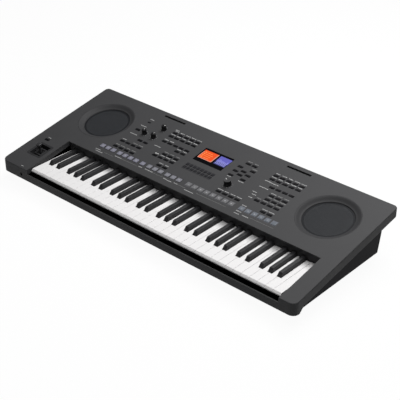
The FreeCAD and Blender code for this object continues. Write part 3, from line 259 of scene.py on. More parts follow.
# Painted shade: the dark frame round the stick's opening
stickShadeSkin = plastic("stickShadeFrame", (0.03, 0.03, 0.032), 0.6, shine=0.1)
knobSkin = plastic("knobBlack", (0.006, 0.006, 0.007), 0.36, shine=0.25, **fineGrain)
dialSkin = plastic("dialGrey", (0.045, 0.045, 0.047), 0.4, shine=0.3, **fineGrain)
barSkin = plastic("barBlack", (0.007, 0.007, 0.008), 0.42, shine=0.07, **fineGrain)
softSkin = plastic("softButtonGrey", (0.02, 0.02, 0.023), 0.5, shine=0.12, **fineGrain)


def lens(name, wall, face):
    # Dark wall, painted shade standing in for the shadow line along each pad's front, and cloudy
    # lens of one group of pads
    return [plastic(name + "Rim", wall, 0.5, shine=0.12),
            plastic(name + "Lens", face, 0.3, bump=0.05, tone=0.1, shine=0.15)]


padSkins = {
    "style_pads": lens("violetPad", (0.02, 0.02, 0.024), (0.2, 0.198, 0.245)),
    "transport_pads": lens("greyPad", (0.02, 0.02, 0.022), (0.195, 0.195, 0.22)),
    "memory_pads": lens("plainPad", (0.02, 0.02, 0.02), (0.155, 0.155, 0.16)),
    "part_pads": lens("tealPad", (0.016, 0.02, 0.022), (0.14, 0.155, 0.18)),
}
grilleSkin = plastic("grilleGraphite", (0.042, 0.044, 0.048), 0.5, shine=0.1, **sheetGrain)
# Painted shade: the dark ring round the grille's edge
grilleShadeSkin = plastic("grilleEdgeShade", (0.015, 0.016, 0.018), 0.55, shine=0.08)
printSkin = plastic("printPale", (0.42, 0.42, 0.42), 0.6, **inkGrain)
surroundSkin = plastic("printDark", (0.009, 0.009, 0.011), 0.55, shine=0.08, **inkGrain)
padFrameSkin = plastic("padFrameGrey", (0.112, 0.112, 0.124), 0.55, shine=0.12, **sheetGrain)
softFrameSkin = plastic("softFrameGrey", (0.034, 0.034, 0.037), 0.55, shine=0.12, **sheetGrain)
faintSkin = plastic("printFaint", (0.21, 0.21, 0.208), 0.6, **inkGrain)
whiteSkin = plastic("printWhite", (0.75, 0.75, 0.74), 0.55, **inkGrain)
signSkin = plastic("printSign", (0.3, 0.3, 0.32), 0.6, **inkGrain)
rubberSkin = plastic("footRubber", (0.014, 0.014, 0.014), 0.8, grain=1200, bump=0.5)
clothSkin = plastic("clothBlack", (0.006, 0.006, 0.007), 0.95, grain=1600, bump=0.8, tone=0.4,
                    shine=0.05)
steelSkin = metal("zincSteel", (0.5, 0.5, 0.5), 0.38)

nodeSkins = {
    "top_case control_panel front_rail": caseSkin,
    "speaker_bowls": dishSkin,
    "joystick_gimbal joystick_lever": stickSkin,
    "case_screws woofer_frames": steelSkin,
    "rubber_feet": rubberSkin,
    "speaker_grilles": grilleSkin,
    "bottom_case":
        plastic("lowerBlack", (0.0065, 0.0065, 0.0085), 0.6, grain=1500, bump=0.4, shine=0.05),
    "key_fascia": plastic("wellBlack", (0.036, 0.036, 0.038), 0.55, shine=0.08),
    "joystick_housing": plastic("stickWellGrey", (0.036, 0.036, 0.038), 0.6, shine=0.08),
    "key_frame": plastic("framePaintBlack", (0.006, 0.006, 0.006), 0.6, grain=900, shine=0.1),
    "key_hinge_rod usb_sockets": metal("nickelBright", (0.66, 0.65, 0.63), 0.25),
    "key_stop_felts":
        plastic("feltBlack", (0.006, 0.006, 0.006), 0.95, grain=700, bump=1, tone=0.5),
    "key_contact_rubber button_rubber_sheet":
        plastic("contactSilicone", (0.5, 0.5, 0.48), 0.6, grain=900),
    "key_contact_board panel_board main_board":
        plastic("boardGreen", (0.02, 0.12, 0.05), 0.35, grain=400, tone=0.3),
    "ribbon_cables": plastic("cableGrey", (0.35, 0.35, 0.36), 0.5, grain=800),
    "woofer_cones": plastic("conePaper", (0.012, 0.012, 0.013), 0.85, grain=700, bump=0.6),
    "woofer_magnets": plastic("magnetFerrite", (0.05, 0.05, 0.052), 0.6, grain=500, bump=0.4),
    "display_window":
        plastic("coverGloss", (0.004, 0.004, 0.005), 0.2, grain=300, bump=0.01,
                tone=0.05, sheen=0.03, shine=0.03),
    "phones_jack": plastic("jackBlack", (0.005, 0.005, 0.005), 0.5, shine=0.06),
    "rotary_pots display_module rear_jacks dc_inlet":
        plastic("socketBlack", (0.012, 0.012, 0.012), 0.32),
}
skinOf = {name: skin for names, skin in nodeSkins.items() for name in names.split()}
for name, node in nodes.items():
    skin = skinOf.get(name) or (whiteKeySkin if name.startswith("keys_") else barSkin)
    node.data.materials.clear()
    node.data.materials.append(skin)
print("materials on", len(nodes), "nodes")


# Mesh helpers

axisRadius = 0.02 * mm  # a turned shape starts and ends this close to its axis
sameLevel = 0.05 * mm  # points this close count as one level
hair = 1e-6


def solidsOf(name):
    # Corner points of each separate solid of a node, met through shared places
    mesh = nodes[name].data
    spots = [tuple(round(c, 6) for c in vertex.co) for vertex in mesh.vertices]
    parent = {spot: spot for spot in spots}

    def root(spot):
        while parent[spot] != spot:
            parent[spot] = parent[parent[spot]]
            spot = parent[spot]
        return spot

    for face in mesh.polygons:
        first = root(spots[face.vertices[0]])
        for index in face.vertices[1:]:
            parent[root(spots[index])] = first
    solids = {}
    for spot in parent:
        solids.setdefault(root(spot), []).append(Vector(spot))
    return sorted(solids.values(), key=lambda solid: min((p.x, p.y) for p in solid))


def extent(points, axis):
    # Least and greatest place of some points along one axis
    places = [p[axis] for p in points]
    return min(places), max(places)


def middleOf(points, axis):
    return sum(extent(points, axis)) / 2


def cornersOf(name):
    # Corner points of a node of one solid, as they stand on the panel
    return [fromPanel @ corner for corner in solidsOf(name)[0]]


def capsOf(name, above=0.2 * mm):
    # Place, size and rise of each cap of a button node, from the corners above the panel
    caps = []
    for solid in solidsOf(name):
        tops = [p for p in (fromPanel @ corner for corner in solid) if p.z > above]
        (left, right), (front, rear) = extent(tops, 0), extent(tops, 1)
        caps.append({"across": (left + right) / 2, "along": (front + rear) / 2,
                     "length": right - left, "width": rear - front, "rise": extent(tops, 2)[1]})
    return caps


def meshFrom(name, bm):
    mesh = bpy.data.meshes.new(name)
    bm.normal_update()
    bm.to_mesh(mesh)
    bm.free()
    return mesh


def addObject(name, data):
    made = bpy.data.objects.new(name, data)
    scene.collection.objects.link(made)
    return made


def addPiece(name, body, materials, bm, replacing=(), place=None):
    if place:
        bm.transform(place)
    mesh = meshFrom(name, bm)
    for material in materials:
        mesh.materials.append(material)
    piece = addObject(name, mesh)
    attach(piece, body)
    if replacing:
        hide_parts(*replacing)
    return piece


def mergeInto(bm, name, part):
    # Adds a finished part to a larger mesh
    mesh = meshFrom(name, part)
    bm.from_mesh(mesh)
    bpy.data.meshes.remove(mesh)


def smoothFaces(bm, limit=math.radians(40)):
    for face in bm.faces:
        face.smooth = True
    for edge in bm.edges:
        edge.smooth = len(edge.link_faces) == 2 and edge.calc_face_angle(0) < limit


def addBlock(bm, low, high):
    # A box between two corners; returns its corner points
    made = bmesh.ops.create_cube(bm, size=1)["verts"]
    size = [high[i] - low[i] for i in range(3)]
    middle = [(high[i] + low[i]) / 2 for i in range(3)]
    place = Matrix.Translation(middle) @ Matrix.Diagonal((*size, 1))
    bmesh.ops.transform(bm, matrix=place, verts=made)
    return made


def skinRings(bm, rings, closed=False):
    # Faces between rings of equal count, and back to the first ring where closed
    faces = []
    for lower, upper in zip(rings, rings[1:] + (rings[:1] if closed else [])):
        for step in range(len(lower)):
            after = (step + 1) % len(lower)
            faces.append(bm.faces.new((lower[step], lower[after], upper[after], upper[step])))
    return faces


def addLathe(bm, profile, steps, place=Matrix(), flute=None, closed=False):
    # Turns a (radius, height) profile about the upright axis; flute gives (count, depth, low, high)
    rings = []
    for radius, height in profile:
        ring = []
        for step in range(steps):
            angle = 2 * math.pi * step / steps
            size = radius
            if flute and flute[2] <= height <= flute[3]:
                size -= flute[1] * (0.5 + 0.5 * math.cos(flute[0] * angle))
            spot = Vector((size * math.cos(angle), size * math.sin(angle), height))
            ring.append(bm.verts.new(place @ spot))
        rings.append(ring)
    skinRings(bm, rings, closed)
    return rings


def capEnds(bm, rings):
    bm.faces.new(list(reversed(rings[0])))
    bm.faces.new(rings[-1])


def bevelEdges(bm, edges, offset, steps, bend=0.5):
    bmesh.ops.bevel(bm, geom=edges, offset=offset, segments=steps, profile=bend, affect="EDGES")


def rectangle(left, right, front, rear):
    return [(left, front), (right, front), (right, rear), (left, rear)]


def shiftTo(across, along):
    return Matrix.Translation((across, along, 0))


def section(radius, height, points):
    # Part of a turned profile, from (outward, upward) steps in mm off one place
    return [(radius + out * mm, height + up * mm) for out, up in points]


# Bar buttons: satin caps with a shallow finger hollow

def roundLoop(halfLength, halfWidth, corner, height, steps=5):
    # Points of a rectangle with rounded corners at one height
    points = []
    for quarter, (sideX, sideY) in enumerate(((1, 1), (-1, 1), (-1, -1), (1, -1))):
        for step in range(steps + 1):
            angle = math.radians(90 * (quarter + step / steps))
            points.append((sideX * (halfLength - corner) + corner * math.cos(angle),
                           sideY * (halfWidth - corner) + corner * math.sin(angle), height))
    return points


def addLoft(bm, loops, lensFrom=None):
    # Skins loops of equal count into a closed shell, of the second material from lensFrom on
    rings = [[bm.verts.new(point) for point in loop] for loop in loops]
    bm.faces.new(list(reversed(rings[0])))
    faces = skinRings(bm, rings) + [bm.faces.new(rings[-1])]
    if lensFrom:
        for face in faces[lensFrom * len(rings[0]):]:
            face.material_index = 1


def addCap(bm, cap, form):
    # A button cap from its profile of (inset, height over its rise) in mm, standing on its foot
    loops = []
    for inset, height in form["profile"]:
        level = form["foot"] if height is None else cap["rise"] + height * mm
        corner = max(form["corner"] - inset * mm, form["leastCorner"])
        loop = roundLoop(cap["length"] / 2 - inset * mm, cap["width"] / 2 - inset * mm, corner,
                         level)
        loops.append([(cap["across"] + x, cap["along"] + y, z) for x, y, z in loop])
    addLoft(bm, loops, form.get("lensFrom"))


barForm = {"corner": 0.9 * mm, "leastCorner": 0.2 * mm, "foot": -3.2 * mm,
           "profile": [(0, None), (0, -0.45), (0.06, -0.25), (0.2, -0.08), (0.45, 0), (0.8, 0),
                       (1.2, -0.12), (1.7, -0.2), (2.1, -0.22)]}
barNodes = ["style_buttons", "function_buttons", "sequence_buttons", "voice_buttons",
            "part_buttons", "memory_buttons", "cursor_buttons", "display_buttons", "power_button"]
barCaps = {name: capsOf(name) for name in barNodes}
for name in barNodes:
    bm = bmesh.new()
    for cap in barCaps[name]:
        addCap(bm, cap, barForm)
    smoothFaces(bm)
    skin = softSkin if name == "display_buttons" else barSkin
    addPiece(name + "_caps", name, [skin], bm, [name], toPanel)
print("bar buttons:", sum(len(caps) for caps in barCaps.values()))


# Square pads: a cloudy lens with a fine groove round its crown, on a dark wall painted as shade for
# the shadow line at each pad's front, and a plain sign

padForm = {"corner": 1.8 * mm, "leastCorner": 0.2 * mm, "foot": -3.2 * mm, "lensFrom": 2,
           "profile": [(0, None), (0, -0.4), (0.12, -0.12), (0.4, 0), (0.95, 0.02), (1.1, -0.08),
                       (1.25, -0.08), (1.35, 0.04), (1.6, 0.12), (3.2, 0.22), (5, 0.25)]}
printLift = 0.05 * mm


def addFlat(bm, points, low, high):
    # A thin plate with a given outline, closed all round
    rings = [[bm.verts.new((x, y, z)) for x, y in points] for z in (low, high)]
    capEnds(bm, rings)
    skinRings(bm, rings)


def addDash(bm, across, along, length, width, low=0.0):
    points = rectangle(across - length / 2, across + length / 2,
                       along - width / 2, along + width / 2)
    addFlat(bm, points, low, low + printLift)


signSize = 2.3 * mm
# (across, along, length, width) of each stroke of a sign; all are shares of its size
signStrokes = {"square": [(0, 0, 1.7, 1.7)], "pair": [(-0.6, 0, 0.6, 2), (0.6, 0, 0.6, 2)],
               "bars": [(0, -0.75, 1.8, 0.35), (0, 0, 2.2, 0.35), (0, 0.75, 1.8, 0.35)]}
ringForm = {"hole": 0.6 * signSize, "steps": 20}


def addSign(bm, kind, across, along, low):
    size = signSize
    if kind == "triangle":
        points = [(across - size, along - size), (across + size, along),
                  (across - size, along + size)]
        addFlat(bm, points, low, low + printLift)
    elif kind == "ring":
        hole = ringForm["hole"]
        profile = [(hole, 0), (size, 0), (size, printLift), (hole, printLift)]
        place = Matrix.Translation((across, along, low))
        addLathe(bm, profile, ringForm["steps"], place, closed=True)
    for right, up, length, width in signStrokes.get(kind, []):
        addDash(bm, across + right * size, along + up * size, length * size, width * size, low)


signRuns = {
    "style_pads": ["bars"] * 3 + ["square"] * 4 + ["pair"],
    "transport_pads": ["bars"] * 3 + ["ring", "triangle", "square"],
    "memory_pads": ["bars"] * 2 + ["square"] * 6,
    "part_pads": ["bars", "ring", "square", "bars", "ring", "plain"],
}
padCaps = {name: capsOf(name) for name in signRuns}
for name, kinds in signRuns.items():
    bm, marks = bmesh.new(), bmesh.new()
    crown = padForm["profile"][-1][1] * mm
    for cap, kind in zip(padCaps[name], kinds):
        addCap(bm, cap, padForm)
        addSign(marks, kind, cap["across"], cap["along"], cap["rise"] + crown)
    smoothFaces(bm)
    addPiece(name + "_caps", name, padSkins[name], bm, [name], toPanel)
    addPiece(name + "_signs", name, [signSkin], marks, place=toPanel)
print("pads:", sum(len(caps) for caps in padCaps.values()))


# Knobs and the data dial: fluted skirts, a turned top and a white pointer

smallKnob = {"flutes": 24, "depth": 0.45 * mm, "top": knobSkin}
knobForm = {
    "live_knob_left": {**smallKnob, "turn": 20}, "live_knob_right": {**smallKnob, "turn": -15},
    "volume_knob": {**smallKnob, "turn": -40},
    "data_dial": {"flutes": 40, "depth": 0.4 * mm, "top": dialSkin, "turn": 60},
}
# Foot and crown are (outward, upward) steps in mm, off the foot and the top of the rim
gripForm = {"bore": 0.3, "foot": [(0, 0), (0, 0.7), (-0.35, 1.1), (-0.5, 1.6)],
            "crown": [(-0.9, -1.5), (-1.1, -0.7), (-1.5, -0.2), (-2.1, 0), (-2.7, -0.12)],
            "hollow": 0.35, "hollowDepth": 0.3 * mm, "fluteFrom": 1.5 * mm, "fluteTo": 1.4 * mm,
            "topBand": 0.7 * mm}
pointerForm = {"half": 0.55 * mm, "start": 0.25, "sink": 0.25 * mm, "end": 1.6 * mm,
               "lift": 0.02 * mm, "sideHalf": 0.5 * mm, "sideFrom": 0.5, "sideEnd": 0.75 * mm,
               "sideTop": 0.35 * mm}
knobPlaces = {}


def knobProfile(radius, low, high):
    # Skirt, fluted grip, rounded shoulder and a dished top
    hollow = high - gripForm["hollowDepth"]
    return [(gripForm["bore"] * radius, low), *section(radius, low, gripForm["foot"]),
            *section(radius, high, gripForm["crown"]), (gripForm["hollow"] * radius, hollow),
            (axisRadius, hollow)]


def addPointer(bm, radius, low, high, place):
    # A white line across the top and down the upper half of the side
    half, end = pointerForm["half"], radius - pointerForm["end"]
    line = addBlock(bm, (-half, pointerForm["start"] * radius, high - pointerForm["sink"]),
                    (half, end, high + pointerForm["lift"]))
    half = pointerForm["sideHalf"]
    side = addBlock(bm, (-half, end, low + pointerForm["sideFrom"] * (high - low)),
                    (half, radius - pointerForm["sideEnd"], high - pointerForm["sideTop"]))
    bmesh.ops.transform(bm, matrix=place, verts=line + side)


for name, form in knobForm.items():
    skirt = [p for p in cornersOf(name) if p.z > 0]
    across, along = middleOf(skirt, 0), middleOf(skirt, 1)
    (left, right), (low, high) = extent(skirt, 0), extent(skirt, 2)
    radius = (right - left) / 2
    knobPlaces[name] = (across, along, radius)
    centre = shiftTo(across, along)
    bm = bmesh.new()
    flute = (form["flutes"], form["depth"], low + gripForm["fluteFrom"], high - gripForm["fluteTo"])
    profile = knobProfile(radius, low, high)
    capEnds(bm, addLathe(bm, profile, 4 * form["flutes"], centre, flute))
    for face in bm.faces:
        if face.calc_center_median().z > high - gripForm["topBand"]:
            face.material_index = 1
    smoothFaces(bm, math.radians(50))
    addPiece(name + "_grip", name, [knobSkin, form["top"]], bm, [name], toPanel)
    bm = bmesh.new()
    addPointer(bm, radius, low, high, centre @ Matrix.Rotation(math.radians(form["turn"]), 4, "Z"))
    addPiece(name + "_pointer", name, [whiteSkin], bm, place=toPanel)
print("knobs:", len(knobForm))


# Joystick: a turned stick under a ribbed cap, in an opening with a thin dark frame that is painted
# shade for the dished rim round the opening

# (outward, upward) steps in mm: the stem off its foot, the neck off the axis at the cap's foot,
# the skirt and the crown off the cap's rim at its foot and its top
stickForm = {"cap": 8 * mm, "capHeight": 6 * mm, "flutes": 22, "fluteDepth": 0.5 * mm,
             "fluteFrom": 0.3 * mm, "fluteTo": 2.5 * mm, "hollow": 0.3 * mm,
             "stem": [(0.02, 0), (4.6, 0), (4.6, 9), (3.6, 11)], "neck": [(3.6, -3), (4.6, -1.4)],
             "skirt": [(-1.2, -0.4), (0, 0.4)],
             "crown": [(0, -2.6), (-0.4, -1.3), (-1.4, -0.4), (-3, 0)]}
# (outward growth, corner radius, height) of the frame's section, in mm
stickShadeForm = {"section": [(-0.6, 2, 0), (4.6, 6, 0), (4.6, 6, 0.05), (4.2, 6, 0.1), (-0.2, 2, 0.1),
                         (-0.6, 2, 0.05)]}


def makeStick():
    corners = cornersOf("joystick_lever")
    low, high = extent(corners, 2)
    crown = [p for p in corners if p.z > high - 0.1 * mm]
    place = shiftTo(middleOf(crown, 0), middleOf(crown, 1))
    cap, capLow = stickForm["cap"], high - stickForm["capHeight"]
    profile = [*section(0, low, stickForm["stem"]), *section(0, capLow, stickForm["neck"]),
               *section(cap, capLow, stickForm["skirt"]), *section(cap, high, stickForm["crown"]),
               (axisRadius, high - stickForm["hollow"])]
    bm = bmesh.new()
    flute = (stickForm["flutes"], stickForm["fluteDepth"], capLow + stickForm["fluteFrom"],
             high - stickForm["fluteTo"])
    capEnds(bm, addLathe(bm, profile, 4 * stickForm["flutes"], place, flute))
    smoothFaces(bm, math.radians(50))
    addPiece("joystick_stick", "joystick_lever", [stickSkin], bm, ["joystick_lever"],
             toPanel)


def makeStickShadeFrame():
    corners = cornersOf("joystick_housing")
    (left, right), (front, rear) = extent(corners, 0), extent(corners, 1)
    middle = shiftTo((left + right) / 2, (front + rear) / 2)
    halfLength, halfWidth = (right - left) / 2, (rear - front) / 2
    # The frame is painted shade, a dark ring where the rim round the opening falls into shade
    bm = bmesh.new()
    rings = []
    for grow, corner, height in stickShadeForm["section"]:
        loop = roundLoop(halfLength + grow * mm, halfWidth + grow * mm, corner * mm, height * mm)
        rings.append([bm.verts.new(middle @ Vector(point)) for point in loop])
    skinRings(bm, rings, closed=True)
    smoothFaces(bm)
    addPiece("joystick_shade_frame", "case", [stickShadeSkin], bm, place=toPanel)


makeStick()
makeStickShadeFrame()
print("joystick done")


# Keys: white ones with a front lip over a set-back skirt, black ones with rounded shoulders

keyForm = {"plate": 7 * mm, "skirtBack": 10 * mm, "skirtSide": 0.8 * mm, "headLeast": 5 * mm,
           "edge": 0.5 * mm, "edgeSteps": 3, "lip": 4.8 * mm, "lipSteps": 5, "lipBend": 0.27,
           "blackEdge": 0.9 * mm, "blackSteps": 4, "widen": 0.28 * mm, "fascia": 12 * mm}
noteNodes = ["keys_" + note + sharp for note in "cdefgab" for sharp in ("", "_sharp")
             if "keys_" + note + sharp in nodes]
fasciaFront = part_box("key_fascia")[0].y
fasciaRear = fasciaFront + keyForm["fascia"]


def whiteOutline(solid):
    # Corners of a white key's top, with its head in front and its tail between the black keys
    top = max(p.z for p in solid)
    face = [p for p in solid if p.z > top - sameLevel]
    front = min(p.y for p in face)
    headRear = min(p.y for p in face if p.y > front + keyForm["headLeast"])
    rear = max(p.y for p in face if p.y < fasciaRear)
    left, right = extent([p for p in face if p.y < front + mm], 0)
    left, right = left - keyForm["widen"], right + keyForm["widen"]
    tail = [p for p in face if p.y > headRear + mm and p.y < rear + 0.1 * mm]
    tailLeft, tailRight = extent(tail, 0)
    points = [(left, front), (right, front), (right, headRear), (tailRight, headRear),
              (tailRight, rear), (tailLeft, rear), (tailLeft, headRear), (left, headRear)]
    steps = zip(points, points[-1:] + points[:-1])
    return [p for p, before in steps if (Vector(p) - Vector(before)).length > sameLevel], top


def addWhiteKey(bm, solid):
    points, top = whiteOutline(solid)
    front = min(y for x, y in points)
    bottom = min(p.z for p in solid if p.y < front + mm)
    plate = top - keyForm["plate"]
    key = bmesh.new()
    addFlat(key, points, plate, top)
    lip = [e for e in key.edges
           if all(v.co.z > top - hair and v.co.y < front + hair for v in e.verts)]
    bevelEdges(key, lip, keyForm["lip"], keyForm["lipSteps"], keyForm["lipBend"])
    rim = [e for e in key.edges if e.calc_face_angle(0) > math.radians(40)
           and min(v.co.z for v in e.verts) > top - keyForm["lip"] - hair]
    bevelEdges(key, rim, keyForm["edge"], keyForm["edgeSteps"])
    left, right = extent([p for p in points if p[1] < front + mm], 0)
    headRear = min(y for x, y in points if y > front + mm)
    addBlock(key, (left + keyForm["skirtSide"], front + keyForm["skirtBack"], bottom),
             (right - keyForm["skirtSide"], headRear, plate))
    smoothFaces(key)
    mergeInto(bm, "whiteKey", key)


def addBlackKey(bm, solid):
    # Upright below the white keys' level, then drawn in to a flat crown with rounded shoulders
    top = max(p.z for p in solid)
    bottom = min(p.z for p in solid if p.y < fasciaFront)
    front = min(p.y for p in solid)
    shoulder = max(p.z for p in solid if p.y < front + 0.1 * mm)
    crown = [p for p in solid if p.z > top - sameLevel]
    base = [p for p in solid if abs(p.z - shoulder) < sameLevel and p.y < fasciaRear]
    key = bmesh.new()
    loops = []
    for points, height in ((base, bottom), (base, shoulder), (crown, top)):
        outline = rectangle(*extent(points, 0), *extent(points, 1))
        loops.append([(x, y, height) for x, y in outline])
    addLoft(key, loops)
    rim = [e for e in key.edges if max(v.co.z for v in e.verts) > top - hair]
    bevelEdges(key, rim, keyForm["blackEdge"], keyForm["blackSteps"])
    smoothFaces(key)
    mergeInto(bm, "blackKey", key)


for name in noteNodes:
    bm = bmesh.new()
    black = name.endswith("_sharp")
    addKey = addBlackKey if black else addWhiteKey
    for solid in solidsOf(name):
        addKey(bm, solid)
    skin, slot = (blackKeySkin, "black_key") if black else (whiteKeySkin, "white_key")
    piece = addPiece(name + "_tops", name, [skin], bm, [name])
    evenShade = piece.modifiers.new("evenShade", "WEIGHTED_NORMAL")  # flat faces stay flat
    evenShade.keep_sharp = True
print("key groups:", len(noteNodes))


# Speakers: a smooth dish round a perforated grille, with a dark ring painted as shade round the
# grille's edge and dark cloth behind it

# Lip and throat are (radius, height) in mm; the slope between them eases down over its run
dishForm = {"lip": [(81.2, -4), (81.2, -0.15)], "slopeFrom": 81, "slopeRun": 15,
            "slopeDepth": 7.998, "slopeSteps": 12, "straight": 0.25, "steps": 128,
            "throat": [(65.5, -8.556), (65, -9.3), (65, -11.2), (61, -11.2), (61, -12),
                       (81.2, -12)]}
grilleForm = {"seat": -11.2 * mm, "radius": 64.7 * mm, "sheet": 0.7 * mm, "holePitch": 3.1 * mm,
              "hole": 1.05 * mm, "gap": 0.05 * mm, "margin": 1.5 * mm, "ringLap": 2.2,
              "ringProud": 0.02 * mm}
clothForm = {"below": 0.7 * mm, "thick": 0.4 * mm, "inset": 5 * mm, "steps": 96}
speakerPlaces = []
for solid in solidsOf("speaker_grilles"):
    spots = [fromPanel @ p for p in solid]
    speakerPlaces.append((middleOf(spots, 0), middleOf(spots, 1)))


def dishProfile():
    # Flush outer lip, rounded shoulder, hollow slope, upright throat and the ledge under the grille
    slope, straight = [], dishForm["straight"]
    for step in range(dishForm["slopeSteps"] + 1):
        t = step / dishForm["slopeSteps"]
        sink = straight * t + (1 - straight) * t * t * (3 - 2 * t)
        slope.append((dishForm["slopeFrom"] - t * dishForm["slopeRun"],
                      -sink * dishForm["slopeDepth"]))
    return section(0, 0, dishForm["lip"] + slope + dishForm["throat"])


def addHexCell(bm, x, y, outer, inner, low, high):
    # One cell of the perforated sheet: a hexagon round its hole on both sides, and the hole's wall
    rings = []
    for radius, z in ((outer, high), (inner, high), (inner, low), (outer, low)):
        ring = []
        for step in range(6):
            turn = math.radians(60 * step + 30)
            spot = (x + radius * math.cos(turn), y + radius * math.sin(turn), z)
            ring.append(bm.verts.new(spot))
        rings.append(ring)
    skinRings(bm, rings)


def closeBorder(bm):
    # Joins the sheet's upper and lower outlines with upright faces
    bmesh.ops.remove_doubles(bm, verts=bm.verts, dist=0.01 * mm)

    def placeOf(vert):
        return round(vert.co.x, 5), round(vert.co.y, 5)

    pairs = {}
    for vert in bm.verts:
        pairs.setdefault(placeOf(vert), []).append(vert)
    border = [e for e in bm.edges if e.is_boundary]
    lowest = min(vert.co.z for vert in bm.verts)
    for edge in border:
        if edge.verts[0].co.z > lowest + 0.1 * mm:
            loop = edge.link_loops[0]
            first, second = loop.link_loop_next.vert, loop.vert
            below = [min(pairs[placeOf(v)], key=lambda v: v.co.z) for v in (second, first)]
            bm.faces.new((first, second, *below))


def addGrille(bm, across, along):
    pitch, radius = grilleForm["holePitch"], grilleForm["radius"]
    low = grilleForm["seat"] + grilleForm["gap"]
    high = low + grilleForm["sheet"]
    span = radius - grilleForm["margin"]
    cell = pitch / math.sqrt(3)
    rows = int(span / (pitch * math.sqrt(3) / 2)) + 1
    for row in range(-rows, rows + 1):
        y = row * pitch * math.sqrt(3) / 2
        shift = pitch / 2 if row % 2 else 0
        for column in range(-rows, rows + 1):
            x = column * pitch + shift
            if math.hypot(x, y) < span - cell:
                addHexCell(bm, across + x, along + y, cell, grilleForm["hole"], low, high)
    closeBorder(bm)
    known = len(bm.faces)
    # The dark ring over the sheet's edge is painted shade, standing in for the shadow round the
    # grille's edge
    inner, proud = span - grilleForm["ringLap"] * cell, grilleForm["ringProud"]
    low, high = low - proud, high + proud
    ring = [(inner, low), (radius, low), (radius, high), (inner, high)]
    addLathe(bm, ring, dishForm["steps"], shiftTo(across, along), closed=True)
    bm.faces.ensure_lookup_table()
    for face in bm.faces[known:]:
        face.material_index = 1


dishes, grilles, cloth = bmesh.new(), bmesh.new(), bmesh.new()
for across, along in speakerPlaces:
    place = shiftTo(across, along)
    addLathe(dishes, dishProfile(), dishForm["steps"], place, closed=True)
    sheet = bmesh.new()
    addGrille(sheet, across, along)
    mergeInto(grilles, "grilleSheet", sheet)
    low = grilleForm["seat"] - clothForm["below"]
    high, edge = low + clothForm["thick"], grilleForm["radius"] - clothForm["inset"]
    disc = [(axisRadius, low), (edge, low), (edge, high), (axisRadius, high)]
    capEnds(cloth, addLathe(cloth, disc, clothForm["steps"], place))
smoothFaces(dishes)
addPiece("speaker_dishes", "case", [dishSkin], dishes, ["speaker_bowls"], toPanel)
addPiece("speaker_mesh", "case", [grilleSkin, grilleShadeSkin], grilles, ["speaker_grilles"],
         toPanel)
addPiece("speaker_cloth", "case", [clothSkin], cloth, place=toPanel)
print("speakers:", len(speakerPlaces))


# Front rail: a dark strip along its top, painted shade for the dark gap under the keys' lips, which
# ends short of the front edge

railShadeForm = {"inset": 0.5 * mm, "lift": 0.06 * mm}
railLow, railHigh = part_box("front_rail")
bm = bmesh.new()
addFlat(bm, rectangle(railLow.x, railHigh.x, railLow.y + railShadeForm["inset"], railHigh.y),
        railHigh.z, railHigh.z + railShadeForm["lift"])
addPiece("rail_shade_strip", "case", [rubberSkin], bm)
print("rail darkened")


# Rear sockets: a knurled nut round each jack, seated on the rear wall

# The profile is (radius, height) in mm; knurls notch the heights inside the band
nutForm = {"profile": [(3.6, 0), (6.2, 0), (6.2, 1.3), (5.7, 1.7), (3.9, 1.7), (3.6, 1.4)],
           "knurls": 18, "notch": 0.3 * mm, "band": (1.2 * mm, 1.35 * mm)}


def makeNuts():
    bm = bmesh.new()
    profile = section(0, 0, nutForm["profile"])
    knurls = (nutForm["knurls"], nutForm["notch"], *nutForm["band"])
    jacks = solidsOf("rear_jacks")
    for solid in jacks:
        wall = max(p.y for p in solid)
        place = (Matrix.Translation((middleOf(solid, 0), wall, middleOf(solid, 2)))
                 @ Matrix.Rotation(math.radians(-90), 4, "X"))
        addLathe(bm, profile, 4 * nutForm["knurls"], place, knurls, closed=True)
    smoothFaces(bm)
    addPiece("rear_jack_nuts", "case", [steelSkin], bm)
    print("rear nuts:", len(jacks))


makeNuts()


# Display: a glossy cover with an amber list on the left and an indigo panel on the right

# (left, right, low, high) of the tiles, from the middle and the front of the screen, in mm
displayForm = {
    "front": 296.5, "under": 0.01, "ground": 0.05, "detail": 0.08,
    "amber": [(-49, -1.5, 0, 36)], "indigo": [(5, 43.5, 14, 36)], "deep": [(5, 43.5, 0.5, 13.8)],
    "frame": [(-49, -1.5, 0, 2), (-49, -47, 2.2, 29), (-3.9, -1.5, 2.2, 36)],
}
rowForm = {"count": 4, "low": 5, "step": 7, "icon": (-44, -39), "iconHeight": 4, "left": -36,
           "length": (14, 26), "line": (1, 2.8)}
columnForm = {"count": 8, "left": 8.5, "step": 4.2, "width": 2.4, "low": 3, "high": 14,
              "rise": (2, 14)}


def listRows():
    # An icon and a line of uneven length in each row of the list
    tiles = []
    for row in range(rowForm["count"]):
        low, left = rowForm["low"] + row * rowForm["step"], rowForm["left"]
        tiles.append((*rowForm["icon"], low, low + rowForm["iconHeight"]))
        tiles.append((left, left + dice.uniform(*rowForm["length"]),
                      *(low + height for height in rowForm["line"])))
    return tiles


def levelColumns():
    tiles = []
    for column in range(columnForm["count"]):
        left = columnForm["left"] + column * columnForm["step"]
        tiles.append((left, left + columnForm["width"], columnForm["low"],
                      columnForm["high"] + dice.uniform(*columnForm["rise"])))
    return tiles


def addTiles(name, glow, color, tiles, lift):
    bm = bmesh.new()
    for left, right, low, high in tiles:
        front, rear = displayForm["front"] + low, displayForm["front"] + high
        addFlat(bm, rectangle(left * mm, right * mm, front * mm, rear * mm),
                windowTop + displayForm["under"] * mm, windowTop + displayForm[lift] * mm)
    skin = lit("screen" + glow, color)
    addPiece("screen_" + name, "case", [skin], bm, place=toPanel)


